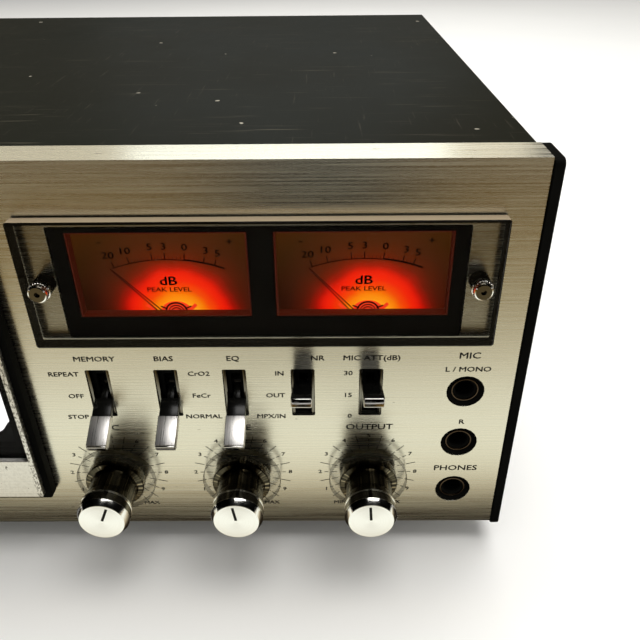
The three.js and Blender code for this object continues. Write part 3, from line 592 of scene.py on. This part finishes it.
def cross_lathe(mesh, rings, segments=48):
    """A body turned about an axis that runs across the deck, from [(radius, x), ...]."""
    before = set(mesh.verts)
    lathe(mesh, rings, segments=segments)
    made = [vert for vert in mesh.verts if vert not in before]
    bmesh.ops.transform(mesh, matrix=Matrix.Rotation(math.radians(-90), 4, "Z"), verts=made)


# ---- Case ----
def make_case():
    softened("front_panel", PANEL, 0.25)
    softened("top_cover", ENAMEL, 0.25, angle=40)
    for side in SIDES:
        softened(f"end_cap_{side}", BLACK, 0.35)
    paint("rear_panel", ENAMEL)
    paint("base_chassis", ZINC)
    for name in FEET:
        make_foot(name)


def make_foot(name):
    node = f"foot_{name}"
    low, high = local_box(node)
    height = high.z - low.z
    rings = [
        (0, 0), (9.8, 0), (10.4, 0.5), (11.5, 2.6), (12.9, height - 3.6), (13, height - 2.6),
        (12.2, height - 0.4), (11.6, height), (5, height), (4.4, height - 2.4), (0, height - 2.4),
    ]
    mesh = bmesh.new()
    lathe(mesh, rings, segments=72)
    top = spot((low.x + high.x) / 2, (low.y + high.y) / 2, high.z)
    piece(f"{node}_rubber", mesh, [RUBBER], body_of(node), top, (-90, 0, 0), [node])


# ---- Printing on the front panel ----
def make_panel_printing():
    lever_x = {name: middle(f"{name}_lever").x for name in LEVERS}
    knob_x = {name: middle(f"{name}_front_knob").x for name in KNOBS}
    jack_x = middle("phones_jack").x
    tiny, small, normal, large = 1.7, 1.9, 2.1, 2.6
    words = [
        ("MIC", jack_x, 80.9, large, "C"),
        ("L / MONO", jack_x, 75.2, normal, "C"),
        ("R", jack_x, 51.7, normal, "C"),
        ("PHONES", jack_x, 28.9, large, "C"),
        ("POWER", middle("power_button").x, 103.5, normal, "C"),
        ("COUNTER", middle("counter_wheels").x, 102, normal, "C"),
        ("RESET", middle("counter_reset_button").x, 107.5, tiny, "C"),
    ]
    titles = ("MEMORY", 0), ("BIAS", 0), ("EQ", 0), ("NR", 5.2), ("MIC ATT(dB)", 0)
    for name, (title, shift) in zip(LEVERS, titles):
        words.append((title, lever_x[name] + shift, 80.2, normal, "C"))
    rows = (73.8, 64.2, 54.7)
    settings = {
        "memory": ("REPEAT", "OFF", "STOP"),
        "noise_reduction": ("IN", "OUT", "MPX/IN"),
        "mic_attenuator": ("30", "15", "0"),
    }
    for name, texts in settings.items():
        words += [(text, lever_x[name] - 6.4, z, small, "R") for text, z in zip(texts, rows)]
    between = (lever_x["bias"] + lever_x["eq"]) / 2 - 0.4
    words += [(text, between, z, small, "C") for text, z in zip(("CrO2", "FeCr", "NORMAL"), rows)]
    for name, x in knob_x.items():
        words.append((name.upper(), x, 49.5, large, "C"))
        for number in range(1, 10):
            a = math.radians((number - 5) * 30)
            words.append((str(number), x + 18.1 * math.sin(a), KNOB_Z + 18.1 * math.cos(a), tiny, "C"))
        for text, side in (("MIN", -1), ("MAX", 1)):
            a = math.radians(150 * side)
            words.append((text, x + 20.5 * math.sin(a), KNOB_Z + 19 * math.cos(a), tiny, "C"))
    lettering("panel_words", words, INK, "case", 0)
    marks = bmesh.new()
    for x in knob_x.values():
        for step in range(-10, 11):
            angle = step * 15
            has_number = step % 2 == 0 and abs(step) < 10
            ray(marks, (x, KNOB_Z), angle, 11.6, 14.2, 0.22, 0)
            ray(marks, (x, KNOB_Z), angle, 15.0, 16.4 if has_number else 18.6, 0.26, 0)
    piece("knob_scales", marks, [INK], "case", ORIGIN)


# ---- Meters ----
def make_meters():
    window = softened("meter_window", SMOKED, 0.2)
    window.data.materials.append(SMOKED_EDGE_PAINTED_SHADE)
    window.data.materials.append(SMOKED_TOP_PAINTED_LIGHT)
    # Top faces take the lighter copy of the acrylic, painted light; the other edge faces take the darker
    # copy, painted shade.
    for face in window.data.polygons:
        face.material_index = 0 if abs(face.normal.y) > 0.9 else 2 if face.normal.z > 0.9 else 1
    softened("meter_surround", BLACK, 0.2)
    for side in SIDES:
        make_meter(side)
        make_window_screw(side)


def make_meter(side):
    can = f"meter_{side}"
    place = spot(middle(can).x, 0, METER_Z)
    paint(can, BLACK)
    front = DIAL_Y - 0.3
    plate = bmesh.new()
    box_mesh(plate, (-29, 29), (front, DIAL_Y - 0.05), (-21.2, 15.4), 0.05)
    piece(f"dial_plate_{side}", plate, [DIAL], "case", place)
    make_dial_scale(side, place, front)
    make_movement(side, place, front)
    make_needle(side)
    make_meter_liner(side, place)


def make_dial_scale(side, place, front):
    """The scale: a thin arc up to zero and a thick one beyond it, with marks, numbers and words."""
    ink = bmesh.new()
    arc_band(ink, SCALE_CENTER, SCALE_RADIUS, (SCALE_ENDS[0], SCALE_ZERO), 0.3, front)
    arc_band(ink, SCALE_CENTER, SCALE_RADIUS + 0.15, (SCALE_ZERO, SCALE_ENDS[1]), 0.6, front)
    for _, angle in SCALE_NUMBERS:
        ray(ink, SCALE_CENTER, angle, SCALE_RADIUS, SCALE_RADIUS + 2.4, 0.38, front)
    for angle in SCALE_STEPS:
        ray(ink, SCALE_CENTER, angle, SCALE_RADIUS, SCALE_RADIUS + 1.1, 0.2, front)
    # Two red bars lean outwards beside the movement's cover; they glow red, painted light of the meter lamp.
    marks = set(ink.faces)
    for way in (-1, 1):
        ray(ink, (way * 6.9 + 0.7, -15), 45 * way, -1.9, 1.9, 1.2, front, 0.06)
    tint(ink, marks, 1)
    piece(f"dial_scale_{side}", ink, [DIAL_INK, RED_LIT], "case", place)
    high = SCALE_RADIUS + 4.6
    words = [
        ("-", -19.8, 9.5, 3, "C"), ("+", 21.8, 9.2, 2.6, "C"),
        ("dB", 0.63, -4.85, 3.3, "C", 0.14), ("PEAK LEVEL", 0.6, -8.0, 1.7, "C", 0.05),
    ]
    for text, angle in SCALE_NUMBERS:
        a = math.radians(angle)
        x = SCALE_CENTER[0] + high * math.sin(a)
        z = SCALE_CENTER[1] + high * math.cos(a)
        words.append((text, x, z, 2.5, "C", 0.09))
    lettering(f"dial_words_{side}", words, DIAL_INK, "case", front, place)


def make_movement(side, place, front):
    """The half-round cover over the meter's coil, with its balance springs and the arms that hold it."""
    mesh = bmesh.new()
    center, wide, high, foot = (2.2, -16.4), 5.2, 4.0, -20.6
    outline = [(center[0] + wide, foot)]
    for k in range(25):
        a = math.pi * k / 24
        outline.append((center[0] + wide * math.cos(a), center[1] + high * math.sin(a)))
    outline.append((center[0] - wide, foot))
    top = front - 0.35
    prism(mesh, outline, top, front)
    cover = set(mesh.faces)
    for radius, width in ((3.6, 0.5), (2.6, 0.3), (1.7, 0.3)):
        arc_band(mesh, center, radius, (-85, 85), width, top, 0.2, 20)
    for angle in (-90, -66, 66, 90):
        ray(mesh, center, angle, 3.2, 5.6, 0.4, top, 0.2)
    tint(mesh, cover, 1)
    # The cover glows red: painted light of the meter lamp.
    piece(f"movement_cover_{side}", mesh, [RED_LIT, DIAL_INK], "case", place)


def make_needle(side):
    """Two thin rails that meet at the tip, on a hub with a small counterweight."""
    node = f"meter_needle_{side}"
    mesh = bmesh.new()
    for rail in (-1, 1):
        prism(mesh, [
            (rail * 0.8, 1.2), (rail * 0.45, 1.2), (rail * 0.05, NEEDLE_LENGTH - 1), (0, NEEDLE_LENGTH),
            (rail * 0.27, NEEDLE_LENGTH - 1),
        ], 4.95, 5.15)
    lathe(mesh, [(0, 4.75), (1.3, 4.75), (1.55, 4.95), (1.55, 5.8), (0, 5.8)], segments=40)
    box_mesh(mesh, (-0.4, 0.4), (4.9, 5.25), (-2.1, -1), 0.06)
    pivot = spot(middle(f"meter_{side}").x, 0, NEEDLE_PIVOT_Z)
    piece(f"{node}_pointer", mesh, [NEEDLE], body_of(node), pivot, (0, -NEEDLE_REST, 0), [node])


def make_meter_liner(side, place):
    """Painted light: a thin glowing sheet round the opening in front of a dial, for the meter lamp's red
    light on its walls.
    """
    mesh = bmesh.new()
    wide, high, wall, floor = 27.95, 15.0, 0.5, 0.4
    for span_x, span_z in (
        ((-wide, -wide + wall), (-high, high)),
        ((wide - wall, wide), (-high, high)),
        ((-wide + wall, wide - wall), (-high, -high + floor)),
        ((-wide + wall, wide - wall), (high - floor, high)),
    ):
        box_mesh(mesh, span_x, (0.5, 4.1), span_z, 0.08)
    piece(f"meter_wall_glow_{side}", mesh, [RED_WALL_PAINTED_GLOW], "case", place)


def make_window_screw(side):
    """A thumb screw with a knurled rim and a hollow in its face, whose darker chrome is painted shade."""
    node = f"window_screw_{side}"
    center = middle(node)
    mesh = bmesh.new()
    lathe(mesh, [
        (0, 7), (1.6, 7), (1.6, -5.6), (3.3, -5.6), (3.4, -5.8), (3.4, -6.4), (3.1, -6.6), (3.1, -7.9),
        (2.9, -8.4), (2.5, -8.6, 1), (0.9, -8.6, 1), (0.9, -7.6, 1), (0, -7.6),
    ], segments=72)
    ridges, radius, half = 24, 3.1, 0.14
    for k in range(ridges):
        a = 2 * math.pi * k / ridges
        x, z = radius * math.cos(a), radius * math.sin(a)
        box_mesh(mesh, (x - half, x + half), (-7.8, -6.7), (z - half, z + half), 0.04)
    place = spot(center.x, 0, center.z)
    piece(f"{node}_head", mesh, [CHROME, DARK_CHROME], "case", place, (0, 35, 0), [node], 25)


# ---- Levers, knobs and jacks ----
def make_lever(name):
    """A lever on its pivot rod: a stem, a neck, and a paddle with a chrome edge at its end."""
    node = f"{name}_lever"
    mesh = bmesh.new()
    end = -LEVER_REACH
    box_mesh(mesh, (-1.2, 1.2), (-9, 1), (-1.5, 1.5), 0.1, 0)
    rod, rod_end, hub, hub_end = 1.1, 4.6, 3, 2.6
    cross_lathe(mesh, [
        (0, -rod_end), (rod, -rod_end), (rod, -hub_end), (hub, -hub_end),
        (hub, hub_end), (rod, hub_end), (rod, rod_end), (0, rod_end),
    ])
    box_mesh(mesh, (-3.3, 3.3), (-15.6, -8.6), (-1.55, 1.55), 0.25, 0, 3)
    box_mesh(mesh, (-3.5, 3.5), (end + 0.7, -15.5), (-1.7, 1.7), 0.22, 1, 3)
    box_mesh(mesh, (-3.42, 3.42), (end, end + 0.8), (-1.6, 1.6), 0.35, 2, 3)
    tilt = LEVER_TILT[name]
    # Levers that rest tilted up get gloss black pads in place of brushed metal: painted shade for the dark
    # that their pads reflect.
    pad = PAD if tilt > 0 else GLOSS_BLACK
    place = spot(middle(node).x, LEVER_PIVOT_Y, LEVER_Z)
    piece(f"{node}_paddle", mesh, [GLOSS_BLACK, pad, CHROME], body_of(node), place, (tilt, 0, 0), [node])


def make_slot_liners():
    """The pressed metal cheeks at both sides of each lever slot."""
    mesh = bmesh.new()
    for name in LEVERS:
        x = middle(f"{name}_lever").x
        for side in (-1, 1):
            cheek = sorted((x + side * 3.95, x + side * 2.95))
            box_mesh(mesh, cheek, (0.6, 3.1), (55.4, 75.3), 0.12)
    piece("slot_cheeks", mesh, [DARK_CHROME], "case", ORIGIN)


def make_knob(name, pointer):
    """A double knob: a clear skirt and a waisted body behind, and a spun cap with its line in front."""
    rear, front = f"{name}_rear_knob", f"{name}_front_knob"
    place = spot(middle(front).x, 0, KNOB_Z)
    skirt = bmesh.new()
    # The rim bands take the darker copy of the acrylic: painted shade along the skirt's edge.
    lathe(skirt, [
        (10.65, -2.55), (14.35, -2.55, 1), (14.68, -2.8, 1), (14.68, -4.75, 1), (14.35, -5), (10.65, -5),
        (10.65, -2.55),
    ], segments=128)
    piece(f"{name}_knob_skirt", skirt, [SKIRT, SKIRT_RIM_PAINTED_SHADE], body_of(rear), place)
    body = bmesh.new()
    lathe(body, [
        (2.9, 12), (3.9, 12), (3.9, -2.5), (10.5, -2.5), (10.62, -2.6), (10.62, -5.05), (10.8, -5.25),
        (10.8, -6.4), (10.5, -6.75), (8.9, -7), (8.55, -7.3), (8.5, -7.8), (8.5, -14.3), (8.35, -14.45),
        (8.35, -14.7), (8.55, -14.85), (8.95, -17.1), (8.8, -17.3), (2.9, -17.3), (2.9, 12),
    ], segments=128)
    piece(f"{name}_knob_body", body, [BLACK_CHROME], body_of(rear), place, replaces=[rear],
          angle=22)
    cap = bmesh.new()
    lathe(cap, [
        (0, 16), (2.5, 16), (2.5, -17.6), (8.9, -17.6, 1), (9.25, -17.75, 1), (9.35, -18, 1),
        (9.35, -18.8, 1), (9.2, -18.95), (9.2, -21.7), (9.33, -21.85, 1), (9.33, -22.15, 1),
        (8.12, -24.3, 1), (8.0, -24.42, 1), (7.85, -24.46, 2), (4, -24.44, 2), (0, -24.44, 2),
    ], segments=128)
    turned = set(cap.faces)
    ray(cap, (0, 0), pointer, 0.6, 6.9, 0.95, -24.42, 0.08)
    tint(cap, turned, 3)
    piece(f"{name}_knob_cap", cap, [DARK_CHROME, CHROME, SPUN, INK], body_of(front), place,
          replaces=[front], angle=20)


def make_jack(node):
    """A jack's bush, sunk in its hole, with the ring of its contact inside."""
    center = middle(node)
    mesh = bmesh.new()
    lathe(mesh, [
        (3.2, 22), (5.5, 22), (5.5, 4), (6.4, 4), (6.55, 3.2), (6.55, 0.5), (6.3, 0.25), (5.4, 1.3),
        (4.85, 1.5, 1), (4.72, 0.9, 1), (4.4, 0.85, 1), (4.28, 1.4), (3.5, 1.7), (3.2, 2.3), (3.2, 22),
    ])
    place = spot(center.x, 0, center.z)
    piece(f"{node}_body", mesh, [BLACK, CONTACT_RING], "case", place, replaces=[node], angle=25)


# ---- Cassette door and tape transport ----
def make_door():
    softened("door_frame", BLACK, 0.3)
    softened("door_face", DOOR_FACE, 0.25)
    softened("door_window", DOOR_GLASS, 0.15)
    paint("cassette_holder", BLACK)


def make_spindle(side):
    """A reel spindle: a disc on a shaft, and a hub with six fins that hold the cassette's reel."""
    node = f"{side}_spindle"
    center = middle(node)
    mesh = bmesh.new()
    lathe(mesh, [
        (0, 6), (1.6, 6), (2.4, 6.6), (3.5, 8.6), (3.6, 20.4), (8.6, 20.6), (9, 21), (9, 22.2),
        (8.7, 22.5), (3, 22.5), (3, 27), (10.7, 27), (11, 27.4), (11, 30.6), (10.7, 31), (0, 31),
    ], segments=72)
    for k in range(6):
        before = set(mesh.verts)
        box_mesh(mesh, (2.6, 4.15), (9, 20.4), (-0.45, 0.45), 0.15)
        fin = [vert for vert in mesh.verts if vert not in before]
        turn = Matrix.Rotation(math.radians(60 * k + 15), 4, "Y")
        bmesh.ops.transform(mesh, matrix=turn, verts=fin)
    place = spot(center.x, 0, center.z)
    piece(f"{node}_hub", mesh, [WHITE_PLASTIC], body_of(node), place, replaces=[node])


def make_transport():
    for side in SIDES:
        make_spindle(side)
    paint("cassette_well", BLACK)
    paint("capstan_flywheel", ZINC)
    paint("motor_pulley", ALUMINIUM)
    paint("drive_motor", ZINC)
    paint("drive_belt", RUBBER)
    softened("head_block", CHROME, 0.25)
    make_pinch_roller()
    make_lamp()


def make_pinch_roller():
    """A rubber tyre on a chrome bush."""
    low, high = local_box("pinch_roller")
    center = (low + high) / 2
    radius = (high.x - low.x) / 2
    bore, bush, edge = 1.65, 3.2, 0.3
    mesh = bmesh.new()
    lathe(mesh, [
        (bore, low.y), (bush, low.y, 1), (bush + 0.1, low.y + edge), (radius - edge, low.y + edge),
        (radius, low.y + 2 * edge), (radius, high.y - edge), (radius - edge, high.y), (bore, high.y),
        (bore, low.y),
    ], segments=72)
    place = spot(center.x, 0, center.z)
    piece("pinch_roller_tyre", mesh, [RUBBER, CHROME], "pinch_roller", place, replaces=["pinch_roller"])


def make_lamp():
    """The opal lamp that lights the cassette from behind, on a stem at the right of the well."""
    mesh = bmesh.new()
    center, half_height, reach_right, reach_left = (17.4, 48), 15.6, 8.8, 2.6
    outline = []
    for k in range(48):
        a = 2 * math.pi * k / 48
        reach = reach_right if math.sin(a) > 0 else reach_left
        outline.append((center[0] + reach * math.sin(a), center[1] + half_height * math.cos(a)))
    prism(mesh, outline, 17.2, 21.2)
    edges = [edge for edge in mesh.edges if edge.calc_face_angle(0) > 1]
    bmesh.ops.bevel(mesh, geom=edges, offset=0.8 * MM, segments=4, profile=0.5, affect="EDGES")
    box_mesh(mesh, (21.5, 25.5), (21, 24.1), (42, 52), 0.2)
    piece("cassette_lamp", mesh, [OPAL], "case", ORIGIN)


# ---- Left-hand controls ----
def make_keys():
    for name in KEYS:
        node = f"{name}_key"
        softened(node, ALUMINIUM, 0.5, 3)
        mark_key(name, middle(node).x, local_box(node)[0].y)


def arrow(x, z, half, way):
    """A triangle that points right where way is 1, and left where it is -1."""
    back, tip = x - way * half / 2, x + way * half / 2
    return [(back, z - half), (tip, z), (back, z + half)]


def block(x, z, wide, high):
    return [(x - wide, z - high), (x + wide, z - high), (x + wide, z + high), (x - wide, z + high)]


def mark_key(name, x, front):
    """The key's printed sign: a disc, arrows, a square or two bars."""
    z, half, apart = 33, 2, 1.2
    left, right = x - apart, x + apart
    turns = [math.radians(a) for a in range(0, 360, 12)]
    signs = {
        "record": [[(x + half * math.cos(a), z + half * math.sin(a)) for a in turns]],
        "rewind": [arrow(left, z, half, -1), arrow(right, z, half, -1)],
        "play": [arrow(x, z, half, 1)],
        "fast_forward": [arrow(left, z, half, 1), arrow(right, z, half, 1)],
        "stop": [block(x, z, half, half)],
        "pause": [block(left, z, 0.5, half), block(right, z, 0.5, half)],
    }
    mesh = bmesh.new()
    for outline in signs[name]:
        prism(mesh, outline, front - PRINT, front)
    material = RED_INK if name == "record" else INK
    piece(f"{name}_key_sign", mesh, [material], f"{name}_key", ORIGIN)


def make_counter():
    """Three ten-sided drums on one axle, with a digit on each side."""
    paint("counter_housing", BLACK)
    mesh = bmesh.new()
    radius, pitch, half = 5.95, 5.6, 2.55
    axle, axle_end = 1.1, 11.1
    half_side = math.radians(18)
    offsets = [drum * pitch for drum in (-1, 0, 1)]
    for x in offsets:
        drum = [(0, x - half), (radius, x - half), (radius, x + half), (0, x + half)]
        cross_lathe(mesh, drum, segments=10)
    flat_ahead = Matrix.Rotation(half_side, 3, "X")
    bmesh.ops.rotate(mesh, verts=mesh.verts, cent=(0, 0, 0), matrix=flat_ahead)
    cross_lathe(mesh, [(0, -axle_end), (axle, -axle_end), (axle, axle_end), (0, axle_end)], segments=24)
    place = spot(*middle("counter_wheels"))
    piece("counter_drums", mesh, [BLACK], "counter", place, replaces=["counter_wheels"], angle=20)
    front = -radius * math.cos(half_side)
    for digit in range(10):
        words = [(str(digit), x, 0, 2.5, "C", 0.04) for x in offsets]
        turn = (36 * digit, 0, 0)
        lettering(f"counter_digits_{digit}", words, WHITE_PLASTIC, "counter", front, place, turn)


def make_buttons():
    node = "counter_reset_button"
    center = middle(node)
    mesh = bmesh.new()
    profile = [(0, -3.7), (2, -3.85), (2.7, -4), (3.1, -3.7), (3.2, -3.2), (3.2, 8), (0, 8)]
    lathe(mesh, profile, segments=64)
    place = spot(center.x, 0, center.z)
    piece("reset_button_cap", mesh, [CHROME], "counter_reset", place, replaces=[node])
    softened("power_button", ALUMINIUM, 0.5, 3)


# ---- Inside and at the back ----
def make_back():
    paint("power_transformer", ZINC)
    paint("main_board", BOARD)
    paint("control_bank", BLACK)
    make_rear_sockets()
    softened("power_inlet", BLACK, 0.2)


def make_rear_sockets():
    """Six phono sockets on a black plate: chrome shells, white inside above and red inside below."""
    low, high = local_box("rear_sockets")
    center = (low + high) / 2
    half = (high - low) / 2
    end = high.y
    plate_front, plate_back = end - 10.2, end - 8.3
    box_x, box_z = half.x - 4.5, half.z - 4.5
    mesh = bmesh.new()
    box_mesh(mesh, (-half.x, half.x), (plate_front, plate_back), (-half.z, half.z), 0.5)
    box_mesh(mesh, (-box_x, box_x), (low.y, plate_front + 0.1), (-box_z, box_z), 0.3)
    start = plate_front + 0.4
    for x in (-20, 0, 20):
        for z, inside in ((9, 2), (-9, 3)):
            lathe(mesh, [
                (1.7, start), (4.9, start), (4.9, plate_back + 0.7), (4.2, plate_back + 1, 1),
                (4.2, end - 0.3, 1), (3.95, end, 1), (3.5, end, 1), (3.4, end - 0.5, inside),
                (2, end - 0.5, 1), (1.7, end - 0.8), (1.7, start),
            ], (x, 0, z), 48)
    piece("rear_sockets_shell", mesh, [BLACK, CHROME, WHITE_PLASTIC, RED_PLASTIC], "case",
          spot(center.x, 0, center.z), replaces=["rear_sockets"])


def paint(node, material):
    """A material of its own for a CAD node that keeps its shape."""
    data = frame["nodes"][node].data
    data.materials.clear()
    data.materials.append(material)


# ---- Floor, lights and camera ----
def make_stage():
    mesh = bmesh.new()
    bmesh.ops.create_grid(mesh, x_segments=2, y_segments=2, size=6)
    data = bpy.data.meshes.new("floor")
    mesh.to_mesh(data)
    mesh.free()
    look = Look("floor_paper", (0.86, 0.86, 0.85), 0.7)
    tones = [(0.3, (0.85, 0.85, 0.84)), (0.7, (0.88, 0.88, 0.87))]
    look.set("Base Color", look.ramp(look.noise(3, detail=4), tones))
    data.materials.append(look.material)
    floor = bpy.data.objects.new("floor", data)
    bpy.context.scene.collection.objects.link(floor)


def area_light(name, place, size, power, target, color):
    data = bpy.data.lights.new(name, "AREA")
    data.shape = "RECTANGLE"
    data.size, data.size_y = size
    data.energy = power
    data.color = color
    light = bpy.data.objects.new(name, data)
    light.location = place
    light.rotation_mode = "QUATERNION"
    light.rotation_quaternion = (Vector(target) - Vector(place)).to_track_quat("-Z", "Y")
    bpy.context.scene.collection.objects.link(light)


def reflector_look():
    """A glowing card whose brightness changes with its distance from the deck: dark beside the panel, a
    painted shadow of the deck on the floor, then bright, then a warm brown further out."""
    look = Look("glowing_card_painted_shadows", (0, 0, 0), 1.0, Specular_IOR_Level=0.0)
    distance = look.math("SUBTRACT", 0, look.axis("Y"))
    # The dark stops nearest the deck are a painted shadow of the deck on the floor.
    glow = look.ramp(look.span(distance, 0, 0.5, 0, 1), [
        (0.0, (0.01, 0.008, 0.006)), (0.036, (0.02, 0.014, 0.008)), (0.06, (0.5, 0.42, 0.28)),
        (0.085, (0.84, 0.82, 0.7)), (0.12, (0.9, 0.92, 0.82)), (0.18, (0.84, 0.84, 0.75)),
        (0.25, (0.62, 0.58, 0.46)), (0.36, (0.36, 0.3, 0.18)), (0.56, (0.18, 0.105, 0.02)),
        (0.8, (0.1, 0.055, 0.008)), (1.0, (0.07, 0.04, 0.01))])
    # A darker patch in front of the meters: a painted shadow of somebody who stands there.
    beside = look.math("ABSOLUTE", look.math("SUBTRACT", look.axis("X"), 0.145), 0)
    away = look.span(beside, 0.04, 0.13, 1, 0)
    shade = look.math("MULTIPLY", away, look.span(distance, 0.14, 0.24, 0, 1))
    glow = look.mix(shade, glow, (0.012, 0.01, 0.007))
    look.set("Emission Color", glow)
    look.shader.inputs["Emission Strength"].default_value = 1.2
    return look.material


def make_reflector():
    """The card lies on the floor in front of the deck and is seen only in its reflections."""
    mesh = bmesh.new()
    half_width, depth = 1.2, 0.9
    corners = [(-half_width, -depth, 0), (half_width, -depth, 0), (half_width, 0, 0), (-half_width, 0, 0)]
    mesh.faces.new([mesh.verts.new(at) for at in corners])
    data = bpy.data.meshes.new("reflector")
    mesh.to_mesh(data)
    mesh.free()
    data.materials.append(reflector_look())
    card = bpy.data.objects.new("reflector", data)
    card.location = (0, ORIGIN.y, 0.0015)
    card.visible_camera = False
    card.visible_diffuse = False
    card.visible_shadow = False
    card.visible_transmission = False
    bpy.context.scene.collection.objects.link(card)


def make_lights():
    world = bpy.data.worlds.new("studio")
    world.use_nodes = True
    background = world.node_tree.nodes["Background"]
    background.inputs["Color"].default_value = (1, 0.985, 0.96, 1)
    background.inputs["Strength"].default_value = 0.5
    world.cycles_visibility.glossy = False
    bpy.context.scene.world = world
    area_light("overhead", (0.5, 0.1, 1.5), (1.2, 1.6), 26, (0.5, 0.1, 0), (1, 0.985, 0.95))
    # Two windows behind the deck shine along its top strip: a wide warm one and a small cool one.
    area_light("back_window", (-0.4, 1.5, 0.84), (2.4, 0.44), 4.2, (-0.2, -0.1, 0.15), (1, 0.93, 0.76))
    area_light("back_lamp", (0.05, 1.45, 0.84), (0.9, 0.44), 1.8, (0.05, -0.1, 0.15), (0.82, 0.92, 1))


def make_camera():
    data = bpy.data.cameras.new("camera")
    data.sensor_width = 36
    data.lens = CAMERA_LENS
    data.clip_start, data.clip_end = 0.01, 50
    ahead = math.cos(CAMERA_PITCH)
    forward = Vector((math.sin(CAMERA_YAW) * ahead, math.cos(CAMERA_YAW) * ahead, -math.sin(CAMERA_PITCH)))
    level = Vector((math.cos(CAMERA_YAW), -math.sin(CAMERA_YAW), 0))
    upright = level.cross(forward)
    right = level * math.cos(CAMERA_ROLL) + upright * math.sin(CAMERA_ROLL)
    up = upright * math.cos(CAMERA_ROLL) - level * math.sin(CAMERA_ROLL)
    camera = bpy.data.objects.new("camera", data)
    camera.matrix_world = Matrix((right, up, -forward)).transposed().to_4x4()
    camera.location = CAMERA_PLACE
    bpy.context.scene.collection.objects.link(camera)
    bpy.context.scene.camera = camera


make_camera()
make_stage()
make_reflector()
make_lights()
make_case()
make_panel_printing()
make_meters()
for lever in LEVERS:
    make_lever(lever)
make_slot_liners()
for knob, pointer_angle in KNOBS.items():
    make_knob(knob, pointer_angle)
for jack in JACKS:
    make_jack(jack)
make_door()
make_transport()
make_keys()
make_counter()
make_buttons()
make_back()

bpy.context.scene.view_settings.view_transform = "Standard"
